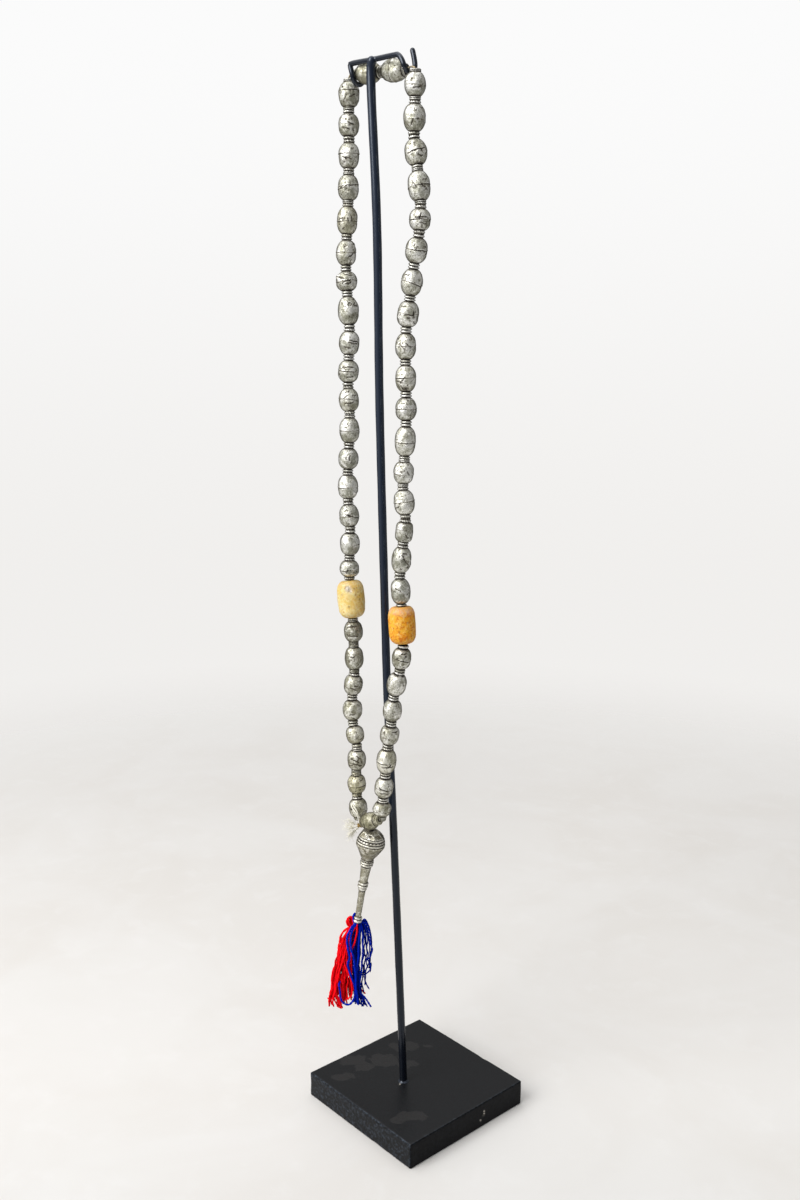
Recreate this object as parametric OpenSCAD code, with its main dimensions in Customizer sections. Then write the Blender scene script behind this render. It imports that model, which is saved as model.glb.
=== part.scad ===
// A string of hollow silver prayer beads with a head bead, stem and tassel,
// hung over the two hooks of a plain black display stand.
// Millimetres, +Z up. The origin is the middle of the base block's underside.

/* [Stand] */
// Side of the square base block
base_w = 120; // [116:1:160]
// Height of the base block
base_h = 20; // [14:1:32]
// Width of the worn bevel on the base block's edges
base_bevel = 1.2; // [0.4:0.1:2.4]
// Diameter of the upright rod
rod_d = 6; // [5:0.25:6.5]
// Diameter of the hanger wire
wire_d = 3.5; // [3:0.25:3.75]

/* [Silver beads] */
// Diameter of the collars at a bead's ends
collar_d = 7.7; // [6.6:0.1:7.9]
// Height of one collar
collar_h = 1.8; // [1.2:0.1:2.2]
// How full a bead's sides are, 2 for an ellipse and more for a fuller one
fullness = 2.5; // [2:0.1:3.2]
// Wall of a hollow bead
bead_wall = 0.5; // [0.4:0.05:0.8]
// Bore that the thread runs through
bore_d = 2; // [1.6:0.1:2.4]
// Gap that neighbouring pieces keep
gap = 0.3; // [0.15:0.05:0.5]

/* [Thread] */
// Diameter of the stringing thread
thread_d = 1.2; // [0.8:0.1:1.4]
// Diameter of the knot beside the head bead
knot_d = 3.6; // [3:0.1:4]

/* [Pendant] */
// Diameter of the head bead over its bands
head_d = 22.2; // [20:0.2:23]
// Length of the head bead
head_l = 24.8; // [24:0.2:25.4]
// Lean of the head bead, degrees to the left
head_lean = 12; // [9:0.5:13]
// Scale of the stem's diameters
stem_scale = 1; // [0.9:0.02:1.04]
// Lean of the stem, degrees to the left
stem_lean = 11.5; // [10:0.1:12.5]
// Length of the tassel
tassel_l = 73; // [60:1:78]
// Diameter of the tassel near its ends
tassel_d = 31; // [24:1:32]
// Lean of the tassel, degrees to the left
tassel_lean = 6.5; // [4:0.5:9]

/* [Hidden] */
// One row for each silver bead down the left side, above its barrel bead:
// length along the thread, diameter, x of the point where its lower end meets the next
LEFT_ROWS = [
  [20.5, 14.4, -39.5], [19, 14.4, -39], [21, 14.3, -39], [21, 14.5, -39.5],
  [22.5, 14.3, -40.5], [21, 14.1, -41], [17.5, 14.8, -39.5], [23.5, 14.8, -37],
  [20.5, 14.5, -37.5], [19.5, 14.6, -38], [20.5, 14.2, -36], [22, 14.4, -36.5],
  [19, 14.4, -37.5], [21.5, 14.4, -37], [20.5, 14.3, -34.5], [20.5, 14.4, -35],
  [16.5, 14.4, -35]];
// The same for the barrel bead, then for the eight silver beads below it
LEFT_BARREL = [28.5, 19.9, -31];
LEFT_RUN = [
  [19.5, 13.9, -30], [21, 14.3, -29], [19.5, 14, -31], [20, 14.4, -30],
  [18, 13.6, -25.5], [20, 13.8, -26], [18.5, 13.8, -25], [18.5, 13.9, -22.5]];
// The right side. A fourth column is how far that point stands off the string's plane
// along Y, and a fifth is the bead's own fullness.
RIGHT_ROWS = [
  [19, 13.7, 22.3, -1.4], [21.5, 14.5, 20.5], [21, 14.8, 24], [23.5, 14.8, 27.5],
  [18.5, 14.3, 26.5], [20.5, 14.7, 22.5], [21, 14.5, 19.5], [21, 14.8, 16.5],
  [21.5, 14.1, 16.5], [21.5, 14.3, 17.5], [19.5, 14.5, 18], [24, 14.6, 17],
  [19.5, 14.2, 16], [22, 14.5, 19], [18.5, 12.4, 17, 0, 5], [22.5, 14, 14.5],
  [22, 14, 16.5]];
RIGHT_BARREL = [27.5, 19.4, 19];
RIGHT_RUN = [
  [20, 13.8, 16], [21, 14.3, 10.5], [20, 14, 8.5], [18.5, 14.2, 5.5],
  [22.5, 14.6, 3.5], [19.5, 13.8, 1.5], [15, 13.5, 0]];

// Where each side starts beside its hook: x, height, and how far off the plane
LEFT_START = [-39.5, 769.6, 0];
RIGHT_START = [23, 765.7, -2.4];
// The two beads that lie across between the hooks
TOP = [[-30.2, -38, 770.6], [-9.6, -33.4, 769.4], [11.2, -28.8, 767.8]];
TOP_D = 14.3;
// The slanting bead that the pendant hangs under
LAST = [[0.4, -42, 248.2], [-16.1, -42.8, 241.9]];
LAST_D = 14;

// The thread between a side's start and the beads across
LEFT_ARC = [[-39.3, -36.8, 770.4], [-37.8, -37.4, 771.3], [-35.5, -38, 771.6], [-32.5, -38.2, 771.2]];
RIGHT_ARC = [[14, -30.2, 768.2], [16.8, -31.3, 768.2], [19.8, -32, 767.7], [22, -32.3, 766.8]];

// Centre line of the rod, which is slightly bowed and leans forward
ROD = [[-2, -11, 20], [-4.6, -15.9, 142], [-7.3, -19.6, 240], [-10.4, -23.3, 335],
  [-11.2, -26.7, 425], [-11.2, -32, 554], [-8.8, -37.1, 669], [-10.2, -41.6, 758], [-8.6, -42.6, 774]];
// Centre line of the hanger wire: left hook, crossbar, right hook
HOOK_LEFT = [[-32.3, -30.5, 781.9], [-31.2, -30, 775], [-30.4, -30.8, 769.2], [-29.9, -33.6, 765.4],
  [-29, -37.6, 764.2], [-27.4, -41.8, 764.9], [-26.5, -43.9, 767.6], [-26.9, -44.7, 771],
  [-27.7, -44.9, 774.2]];
BAR = [[-26.2, -44.7, 775.6], [-9, -41.6, 775.4], [9, -38.6, 775.4]];
HOOK_RIGHT = [[12.6, -38, 774.9], [15.8, -38, 771.8], [17.6, -37.4, 768], [17.2, -35, 765.7],
  [16.8, -31.5, 765.1], [16.1, -28, 766.1], [15.6, -26, 769.5], [14.2, -25.4, 774.5],
  [11.5, -25, 781.7]];

// The pendant's swing axis passes through here, along X
PIVOT = [-12.2, -37, 236.5];
HEAD_TOP = [-12, -37, 235.3];
KNOT = [-21.5, -40, 237.5];

// Lift of everything on the base when the base block's height is changed
up = base_h - 20;
thread_r = thread_d / 2;
bore_r = bore_d / 2;

// ---- helpers ----

// The string hangs in an upright plane that is turned 6 degrees and leans forward
function plane_y(x, z) = -33.5 - 5.5 * (764 - z) / 514 + tan(6) * (x + 10);
function start_of(s) = [s[0], plane_y(s[0], s[1]) + s[2], s[1]];
function off_of(row) = is_undef(row[3]) ? 0 : row[3];
function next_point(p, row) =
  let (dx = row[2] - p[0],
       dy = plane_y(row[2], p[2] - row[0]) + off_of(row) - p[1],
       z = p[2] - sqrt(row[0] * row[0] - dx * dx - dy * dy))
  [row[2], plane_y(row[2], z) + off_of(row), z];
function walk(rows, p, i = 0) =
  i == len(rows) ? [p] : concat([p], walk(rows, next_point(p, rows[i]), i + 1));

LEFT_ALL = concat(LEFT_ROWS, [LEFT_BARREL], LEFT_RUN);
RIGHT_ALL = concat(RIGHT_ROWS, [RIGHT_BARREL], RIGHT_RUN);
LEFT_PTS = walk(LEFT_ALL, start_of(LEFT_START));
RIGHT_PTS = walk(RIGHT_ALL, start_of(RIGHT_START));

function unit(v) = v / norm(v);
function reverse(a) = [for (i = [len(a) - 1:-1:0]) a[i]];
function first(a, n) = [for (i = [0:n - 1]) a[i]];
function tangent(p, i) = unit(p[min(i + 1, len(p) - 1)] - p[max(i - 1, 0)]);
// Carries one side vector along the route, so that a tube doesn't twist
function carry(t, u, i = 0) =
  let (w = unit(u - (u * t[i]) * t[i]))
  i == len(t) - 1 ? [w] : concat([w], carry(t, w, i + 1));
// A smooth route through hand-set points, with n steps from one to the next
function blend4(a, b, c, d, t) =
  0.5 * (2 * b + (c - a) * t + (2 * a - 5 * b + 4 * c - d) * t * t + (3 * b - a - 3 * c + d) * t * t * t);
function smooth(p, n) = concat(
  [for (i = [0:len(p) - 2], k = [0:n - 1])
    blend4(p[max(i - 1, 0)], p[i], p[i + 1], p[min(i + 2, len(p) - 1)], k / n)],
  [p[len(p) - 1]]);

// A round tube along a route, as one closed skin. Its far end can be domed.
module tube(line, r, sides, domed = false) {
  last = line[len(line) - 1];
  way = tangent(line, len(line) - 1);
  steps = domed ? [25, 50, 75] : [];
  route = concat(line, [for (a = steps) last + r * sin(a) * way]);
  radii = concat([for (q = line) r], [for (a = steps) r * cos(a)]);
  t = [for (i = [0:len(route) - 1]) tangent(route, i)];
  side = abs(t[0] * [0, 1, 0]) < 0.8 ? [0, 1, 0] : [1, 0, 0];
  us = carry(t, side);
  n = len(route);
  pts = [for (i = [0:n - 1], k = [0:sides - 1])
    let (a = 360 * k / sides, u = us[i], v = cross(t[i], u)) route[i] + radii[i] * (cos(a) * u + sin(a) * v)];
  faces = concat(
    [for (i = [0:n - 2], k = [0:sides - 1])
      let (a = i * sides + k, b = i * sides + (k + 1) % sides) [a, b, b + sides]],
    [for (i = [0:n - 2], k = [0:sides - 1])
      let (a = i * sides + k, b = i * sides + (k + 1) % sides) [a, b + sides, a + sides]],
    [[for (k = [sides - 1:-1:0]) k]],
    [[for (k = [0:sides - 1]) (n - 1) * sides + k]]);
  polyhedron(points = pts, faces = [for (f = faces) reverse(f)]);
}

// Puts a piece that was drawn along +Z, with its middle at 0, between two points
module between(a, b) {
  d = b - a;
  translate((a + b) / 2) rotate([0, acos(d[2] / norm(d)), atan2(d[1], d[0])]) children();
}

// Outer radius of a bead's body, u from -1 at one collar to 1 at the other
function body_end(r, rc, p) = pow(1 - (rc / r) * (rc / r), 1 / p);
function body_r(u, r, rc, p) = r * sqrt(1 - pow(abs(u) * body_end(r, rc, p), p));

module bead_section(len, d, p, hollow) {
  rc = collar_d / 2;
  r = d / 2;
  h = len / 2 - collar_h;
  w = bead_wall;
  steps = 7;
  us = [for (i = [-steps:steps]) sin(90 * i / steps)];
  outer = [for (u = us) [body_r(u, r, rc, p), h * u]];
  inner = [for (u = reverse(us)) [body_r(u, r, rc, p) - w, (h - w) * u]];
  polygon(hollow
    ? concat([[bore_r, -len / 2], [rc, -len / 2]], outer, [[rc, len / 2], [bore_r, len / 2], [bore_r, h - w]],
        inner, [[bore_r, w - h]])
    : concat([[0, -len / 2], [rc, -len / 2]], outer, [[rc, len / 2], [0, len / 2]]));
}

module bead(a, b, d, p, hollow = true) {
  between(a, b) rotate_extrude($fn = 48) bead_section(norm(b - a), d, p, hollow);
}
// The bead between points i and i + 1 of a string
module strung(pts, i, d, p, hollow = true) {
  bead(end_a(pts, i, collar_d / 2), end_b(pts, i, collar_d / 2), d, p, hollow);
}

function own_fullness(row) = is_undef(row[4]) ? fullness : row[4];

// Where the string bends, an end is drawn back until its rim clears the next piece
function bend_at(p, i) =
  i == 0 || i >= len(p) - 1 ? 0 : acos(min(1, unit(p[i] - p[i - 1]) * unit(p[i + 1] - p[i])));
function back_off(p, i, r) = gap / 2 + r * tan(bend_at(p, i) / 2);
function end_a(p, i, r) = p[i] + back_off(p, i, r) * unit(p[i + 1] - p[i]);
function end_b(p, i, r) = p[i + 1] - back_off(p, i + 1, r) * unit(p[i + 1] - p[i]);

// A barrel bead with gently bulging sides and a small flat at each end
module barrel(pts, i, d, end_d) {
  a = end_a(pts, i, end_d / 2 - 1.2);
  b = end_b(pts, i, end_d / 2 - 1.2);
  len = norm(b - a);
  r = d / 2;
  e = end_d / 2;
  between(a, b) rotate_extrude($fn = 48) polygon([
    [bore_r, -len / 2], [e - 1.5, -len / 2], [e, -len / 2 + 1.5], [r - 0.9, -len / 4], [r, -len / 12], [r, len / 12],
    [r - 0.9, len / 4], [e, len / 2 - 1.5], [e - 1.5, len / 2], [bore_r, len / 2]]);
}

// Silver beads on their thread, as one solid
module run(rows, pts, from) {
  for (i = [0:len(rows) - 1]) {
    strung(pts, from + i, rows[i][1], own_fullness(rows[i]), false);
    if (i > 0) translate(pts[from + i]) sphere(r = 1.5, $fn = 24);
  }
}

// Leans a piece that is drawn downward from the origin, to the left of its top point
module hang(top, lean) {
  translate(top) rotate([0, lean, 0]) children();
}
function below(top, lean, l) = top - l * [sin(lean), 0, cos(lean)];

HEAD_BOTTOM = below(HEAD_TOP, head_lean, head_l);
STEM_TOP = HEAD_BOTTOM - [0.1, 0, 0.6];
stem_l = 57.3;
STEM_BOTTOM = below(STEM_TOP, stem_lean, stem_l);
TASSEL_TOP = STEM_BOTTOM - [0.1, 0, 0.7];

// ---- stand ----

module stand_base() {
  c = base_bevel;
  color([0.07, 0.07, 0.08]) difference() {
    intersection() {
      linear_extrude(base_h) bevelled(base_w, base_w, c);
      translate([0, base_w / 2, base_h / 2]) rotate([90, 0, 0]) linear_extrude(base_w) bevelled(base_w, base_h, c);
      translate([-base_w / 2, 0, base_h / 2]) rotate([90, 0, 90]) linear_extrude(base_w) bevelled(base_w, base_h, c);
    }
    translate([ROD[0][0], ROD[0][1], base_h - 12]) cylinder(d = rod_d + 0.6, h = 13, $fn = 48);
  }
}
module bevelled(w, h, c) {
  x = w / 2;
  y = h / 2;
  polygon([[-x + c, -y], [x - c, -y], [x, -y + c], [x, y - c], [x - c, y], [-x + c, y], [-x, y - c], [-x, -y + c]]);
}

module stand_rod() {
  color([0.05, 0.05, 0.06]) translate([0, 0, up]) {
    tube(concat([[ROD[0][0], ROD[0][1], 8.5], [ROD[0][0], ROD[0][1], 19.5]],
      smooth([for (i = [1:len(ROD) - 1]) ROD[i]], 2)), rod_d / 2, 12, true);
    tube(concat(smooth(concat(HOOK_LEFT, BAR, HOOK_RIGHT), 2)), wire_d / 2, 10);
  }
}

// ---- the string ----

module bead_left(i) {
  color([0.74, 0.72, 0.68]) translate([0, 0, up])
    strung(LEFT_PTS, i, LEFT_ROWS[i][1], own_fullness(LEFT_ROWS[i]));
}
module bead_right(i) {
  color([0.72, 0.71, 0.67]) translate([0, 0, up])
    strung(RIGHT_PTS, i, RIGHT_ROWS[i][1], own_fullness(RIGHT_ROWS[i]));
}
module bead_top_left() {
  color([0.66, 0.62, 0.55]) translate([0, 0, up]) strung(TOP, 0, TOP_D, fullness);
}
module bead_top_right() {
  color([0.7, 0.69, 0.65]) translate([0, 0, up]) strung(TOP, 1, TOP_D, fullness);
}
module amber_left() {
  n = len(LEFT_ROWS);
  color([0.9, 0.8, 0.5]) translate([0, 0, up]) barrel(LEFT_PTS, n, LEFT_BARREL[1], 14.5);
}
module amber_right() {
  n = len(RIGHT_ROWS);
  color([0.86, 0.6, 0.22]) translate([0, 0, up]) barrel(RIGHT_PTS, n, RIGHT_BARREL[1], 16);
}
module run_left() {
  color([0.62, 0.6, 0.55]) translate([0, 0, up]) run(LEFT_RUN, LEFT_PTS, len(LEFT_ROWS) + 1);
}
module run_right() {
  n = len(RIGHT_ALL);
  color([0.62, 0.6, 0.55]) translate([0, 0, up]) {
    run(RIGHT_RUN, RIGHT_PTS, len(RIGHT_ROWS) + 1);
    bead(LAST[0], LAST[1], LAST_D, 2.2, false);
    translate(RIGHT_PTS[n]) sphere(r = 1.6, $fn = 24);
  }
}
module thread() {
  nl = len(LEFT_ROWS) + 2;
  nr = len(RIGHT_ROWS) + 2;
  color([0.82, 0.76, 0.64]) translate([0, 0, up])
    tube(concat(reverse(first(LEFT_PTS, nl)), LEFT_ARC, TOP, RIGHT_ARC, first(RIGHT_PTS, nr)), thread_r, 8);
}
module thread_tuft() {
  color([0.85, 0.8, 0.7]) translate([0, 0, up]) {
    translate(KNOT) sphere(d = knot_d, $fn = 24);
    tube([LEFT_PTS[len(LEFT_ALL)] - [0, 0.2, 0.9], KNOT], thread_r, 8);
    tube([LAST[1] - [1, 0, 0.4], KNOT], thread_r, 8);
    tube([KNOT, PIVOT], thread_r, 8);
    translate(PIVOT) sphere(r = 0.7, $fn = 16);
    hull() {
      translate(KNOT) sphere(r = 1.2, $fn = 12);
      translate([-37, -41, 233.5]) sphere(r = 3.2, $fn = 16);
      translate([-32, -41.5, 226]) sphere(r = 3, $fn = 16);
    }
  }
}

// ---- the pendant ----

module head_bead() {
  r = head_d / 2;
  l = head_l;
  color([0.6, 0.58, 0.54]) translate([0, 0, up]) hang(HEAD_TOP, head_lean) rotate_extrude($fn = 64) polygon([
    [1.2, 0], [2.4, 0], [3.2, -0.7], [6, -1.6], [8.7, -4.8], [r - 0.9, -9.6], [r, -10], [r, -11.2], [r - 0.5, -11.4], [r, -11.6], [r, -12.6],
    [r - 0.5, -12.8], [r, -13], [r, -14.1], [r - 0.9, -14.5], [5.3, -l + 1], [4.9, -l], [1.2, -l],
    [1.2, -l + 2], [4.5, -l + 2], [r - 1.8, -13.7], [r - 1.6, -10.7], [8, -6], [5, -2.8], [1.2, -2.8]]);
}

// Stem profile, a row for each change: distance below its top, radius
STEM_ROWS = [
  [0, 4.7], [0.4, 5.2], [2, 5.2], [2.2, 4.7], [2.4, 5.1], [4, 5.1], [4.2, 4.6], [4.4, 5], [6, 5], [6.4, 4.4],
  [6.6, 3.8], [20.2, 3.15],
  [20.4, 3.7], [21, 4], [23.4, 4], [24, 3.5], [24.6, 4], [27.2, 4], [28, 3.4],
  [28.2, 2.7], [51.6, 2.2],
  [51.8, 2.9], [52.6, 3.3], [54, 3.3], [54.4, 2.9], [54.8, 3.4], [56.6, 3.4], [57.3, 2.9]];

module pendant_stem() {
  color([0.6, 0.58, 0.54]) translate([0, 0, up]) hang(STEM_TOP, stem_lean) rotate_extrude($fn = 48)
    polygon(concat([[1.2, 0]], [for (q = STEM_ROWS) [q[1] * stem_scale, -q[0]]], [[1.2, -stem_l]]));
}
module pendant_thread() {
  color([0.82, 0.76, 0.64]) translate([0, 0, up])
    tube([PIVOT - [0.1, 0, 1.7], HEAD_BOTTOM, STEM_TOP, STEM_BOTTOM, below(TASSEL_TOP, tassel_lean, 9)], 0.55, 8);
}

// Both colours of yarn fill one body of revolution, parted by an upright slit
module tassel_body(side) {
  l = tassel_l;
  r = tassel_d / 2;
  translate([0, 0, up]) hang(TASSEL_TOP, tassel_lean) intersection() {
    difference() {
      rotate_extrude($fn = 48) polygon([[0, 0], [3.4, 0], [5.5, -6], [r * 0.6, -15], [r * 0.82, -35], [r * 0.95, -55],
        [r, -l + 5], [r - 2, -l], [0, -l]]);
      translate([0, 0, -12]) cylinder(r = 1, h = 13, $fn = 24);
    }
    rotate([0, 0, 48]) translate([side > 0 ? 0.2 : -40.2, -40, -l - 1]) cube([40, 80, l + 2]);
  }
}
module tassel_red() { color([0.6, 0.13, 0.14]) tassel_body(-1); }
module tassel_blue() { color([0.13, 0.25, 0.52]) tassel_body(1); }

two = function (i) str(i < 10 ? "0" : "", i);
LEFT_NAMES = [for (i = [1:len(LEFT_ROWS)]) str("bead_left_", two(i))];
RIGHT_NAMES = [for (i = [1:len(RIGHT_ROWS)]) str("bead_right_", two(i))];

stand_base();
stand_rod();
thread();
thread_tuft();
bead_top_left();
bead_top_right();
for (i = [0:len(LEFT_NAMES) - 1]) bead_left(i);
amber_left();
run_left();
for (i = [0:len(RIGHT_NAMES) - 1]) bead_right(i);
amber_right();
run_right();
head_bead();  // imam_bead
pendant_stem();
pendant_thread();
tassel_red();
tassel_blue();
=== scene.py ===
import math
import bpy
import numpy as np
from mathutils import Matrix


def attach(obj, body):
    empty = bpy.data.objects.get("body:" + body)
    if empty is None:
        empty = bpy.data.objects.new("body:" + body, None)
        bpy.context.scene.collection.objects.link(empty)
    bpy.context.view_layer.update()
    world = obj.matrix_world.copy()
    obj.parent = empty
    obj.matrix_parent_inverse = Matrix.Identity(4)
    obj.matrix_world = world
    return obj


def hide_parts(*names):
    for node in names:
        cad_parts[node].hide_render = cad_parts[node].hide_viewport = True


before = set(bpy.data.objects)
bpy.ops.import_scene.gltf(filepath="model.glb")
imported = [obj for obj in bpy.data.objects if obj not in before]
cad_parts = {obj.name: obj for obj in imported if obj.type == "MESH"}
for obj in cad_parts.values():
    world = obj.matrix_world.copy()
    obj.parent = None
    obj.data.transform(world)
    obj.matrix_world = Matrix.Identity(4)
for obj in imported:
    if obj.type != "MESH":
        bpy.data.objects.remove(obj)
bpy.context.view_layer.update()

MM = 0.001

# ---------------------------------------------------------------- camera
F_PX = 1150.0                                  # focal length in pixels of the 800 x 1200 frame
PITCH, ROLL, AZ = np.radians(10.88), np.radians(0.5), np.radians(48.1)
CAM = np.array([609.6, -568.0, 568.8])         # mm, in the object's frame
RIGHT = np.array([math.cos(AZ), math.sin(AZ), 0.0])
AHEAD = np.array([-math.sin(AZ), math.cos(AZ), 0.0])
UP = np.array([0.0, 0.0, 1.0])
FWD = AHEAD * math.cos(PITCH) - UP * math.sin(PITCH)
UPV = AHEAD * math.sin(PITCH) + UP * math.cos(PITCH)
TOWARD = -AHEAD                                # level direction from the object to the camera


def through(px, py, depth=0.0, base=(-31.0, -38.0)):
    """The point seen at a pixel, on the upright plane through base that faces the camera, moved depth mm nearer."""
    xr, yr = (px - 400.0) / F_PX, (py - 600.0) / F_PX
    c, s = math.cos(ROLL), math.sin(ROLL)
    d = FWD + RIGHT * (c * xr + s * yr) - UPV * (-s * xr + c * yr)
    n = TOWARD
    o = np.array([base[0], base[1], 0.0]) + n * depth
    return CAM + d * ((n @ (o - CAM)) / (n @ d))


def make_camera():
    cam = bpy.data.cameras.new("cam")
    ob = bpy.data.objects.new("cam", cam)
    bpy.context.scene.collection.objects.link(ob)
    c, s = math.cos(ROLL), math.sin(ROLL)
    x, y, z = c * RIGHT + s * UPV, -s * RIGHT + c * UPV, -FWD
    from mathutils import Matrix
    ob.matrix_world = Matrix([[x[i], y[i], z[i], CAM[i] * MM] for i in range(3)] + [[0, 0, 0, 1]])
    cam.sensor_fit = "VERTICAL"
    cam.sensor_height = 36.0
    cam.sensor_width = 24.0
    cam.lens = F_PX / 1200.0 * 36.0
    cam.clip_start, cam.clip_end = 0.01, 50.0
    bpy.context.scene.camera = ob


make_camera()

# ---------------------------------------------------------------- the string's layout, as in the CAD model
LEFT_ROWS = [
    (20.5, 14.4, -39.5), (19, 14.4, -39), (21, 14.3, -39), (21, 14.5, -39.5),
    (22.5, 14.3, -40.5), (21, 14.1, -41), (17.5, 14.8, -39.5), (23.5, 14.8, -37),
    (20.5, 14.5, -37.5), (19.5, 14.6, -38), (20.5, 14.2, -36), (22, 14.4, -36.5),
    (19, 14.4, -37.5), (21.5, 14.4, -37), (20.5, 14.3, -34.5), (20.5, 14.4, -35),
    (16.5, 14.4, -35)]
LEFT_BARREL = (28.5, 19.9, -31)
LEFT_RUN = [
    (19.5, 13.9, -30), (21, 14.3, -29), (19.5, 14, -31), (20, 14.4, -30),
    (18, 13.6, -25.5), (20, 13.8, -26), (18.5, 13.8, -25), (18.5, 13.9, -22.5)]
RIGHT_ROWS = [
    (19, 13.7, 22.3, -1.4), (21.5, 14.5, 20.5), (21, 14.8, 24), (23.5, 14.8, 27.5),
    (18.5, 14.3, 26.5), (20.5, 14.7, 22.5), (21, 14.5, 19.5), (21, 14.8, 16.5),
    (21.5, 14.1, 16.5), (21.5, 14.3, 17.5), (19.5, 14.5, 18), (24, 14.6, 17),
    (19.5, 14.2, 16), (22, 14.5, 19), (18.5, 12.4, 17, 0, 5), (22.5, 14, 14.5),
    (22, 14, 16.5)]
RIGHT_BARREL = (27.5, 19.4, 19)
RIGHT_RUN = [
    (20, 13.8, 16), (21, 14.3, 10.5), (20, 14, 8.5), (18.5, 14.2, 5.5),
    (22.5, 14.6, 3.5), (19.5, 13.8, 1.5), (15, 13.5, 0)]
TOP = [np.array(p, float) for p in ((-30.2, -38, 770.6), (-9.6, -33.4, 769.4), (11.2, -28.8, 767.8))]
LAST = [np.array(p, float) for p in ((0.4, -42, 248.2), (-16.1, -42.8, 241.9))]
LEFT_ARC = [(-39.3, -36.8, 770.4), (-37.8, -37.4, 771.3), (-35.5, -38, 771.6), (-32.5, -38.2, 771.2)]
RIGHT_ARC = [(14, -30.2, 768.2), (16.8, -31.3, 768.2), (19.8, -32, 767.7), (22, -32.3, 766.8)]
ROD = [(-2, -11, 20), (-4.6, -15.9, 142), (-7.3, -19.6, 240), (-10.4, -23.3, 335),
       (-11.2, -26.7, 425), (-11.2, -32, 554), (-8.8, -37.1, 669), (-10.2, -41.6, 758), (-8.6, -42.6, 774)]
HOOK_LEFT = [(-32.3, -30.5, 781.9), (-31.2, -30, 775), (-30.4, -30.8, 769.2), (-29.9, -33.6, 765.4),
             (-29, -37.6, 764.2), (-27.4, -41.8, 764.9), (-26.5, -43.9, 767.6), (-26.9, -44.7, 771),
             (-27.7, -44.9, 774.2)]
BAR = [(-26.2, -44.7, 775.6), (-9, -41.6, 775.4), (9, -38.6, 775.4)]
HOOK_RIGHT = [(12.6, -38, 774.9), (15.8, -38, 771.8), (17.6, -37.4, 768), (17.2, -35, 765.7),
              (16.8, -31.5, 765.1), (16.1, -28, 766.1), (15.6, -26, 769.5), (14.2, -25.4, 774.5),
              (11.5, -25, 781.7)]
PIVOT = np.array([-12.2, -37, 236.5])
HEAD_TOP = np.array([-12.0, -37, 235.3])
KNOT = np.array([-21.5, -40, 237.5])
HEAD_LEAN, HEAD_L, HEAD_R = 12.0, 24.8, 11.1
STEM_LEAN, STEM_L = 11.5, 57.3
TASSEL_LEAN, TASSEL_L = 6.5, 73.0
COLLAR_R, COLLAR_H, FULL, GAP = 3.85, 1.8, 2.5, 0.3


def unit(v):
    v = np.asarray(v, float)
    return v / np.linalg.norm(v)


def plane_y(x, z):
    return -33.5 - 5.5 * (764 - z) / 514 + math.tan(math.radians(6)) * (x + 10)


def walk(rows, p):
    pts = [np.array(p, float)]
    for row in rows:
        p = pts[-1]
        off = row[3] if len(row) > 3 else 0.0
        dx = row[2] - p[0]
        dy = plane_y(row[2], p[2] - row[0]) + off - p[1]
        z = p[2] - math.sqrt(row[0] ** 2 - dx * dx - dy * dy)
        pts.append(np.array([row[2], plane_y(row[2], z) + off, z]))
    return pts


LEFT_ALL = LEFT_ROWS + [LEFT_BARREL] + LEFT_RUN
RIGHT_ALL = RIGHT_ROWS + [RIGHT_BARREL] + RIGHT_RUN
LEFT_PTS = walk(LEFT_ALL, (-39.5, plane_y(-39.5, 769.6), 769.6))
RIGHT_PTS = walk(RIGHT_ALL, (23.0, plane_y(23.0, 765.7) - 2.4, 765.7))


def ends(pts, i, r):
    """A bead's two ends between points i and i + 1, drawn back where the string bends."""
    def back(k):
        if k == 0 or k >= len(pts) - 1:
            return GAP / 2
        c = float(unit(pts[k] - pts[k - 1]) @ unit(pts[k + 1] - pts[k]))
        return GAP / 2 + r * math.tan(math.acos(min(1.0, c)) / 2)
    d = unit(pts[i + 1] - pts[i])
    return pts[i] + back(i) * d, pts[i + 1] - back(i + 1) * d


# ---------------------------------------------------------------- mesh helpers
def grid_faces(rows, cols, start=0, wrap=True, flip=False):
    """Quads of a grid of rows by cols points, row by row."""
    r = np.arange(rows - 1)[:, None]
    c = np.arange(cols if wrap else cols - 1)[None, :]
    a = start + r * cols + c
    b = start + r * cols + (c + 1) % cols
    q = np.stack([a, b, b + cols, a + cols], -1).reshape(-1, 4)
    return q[:, ::-1] if flip else q


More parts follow.
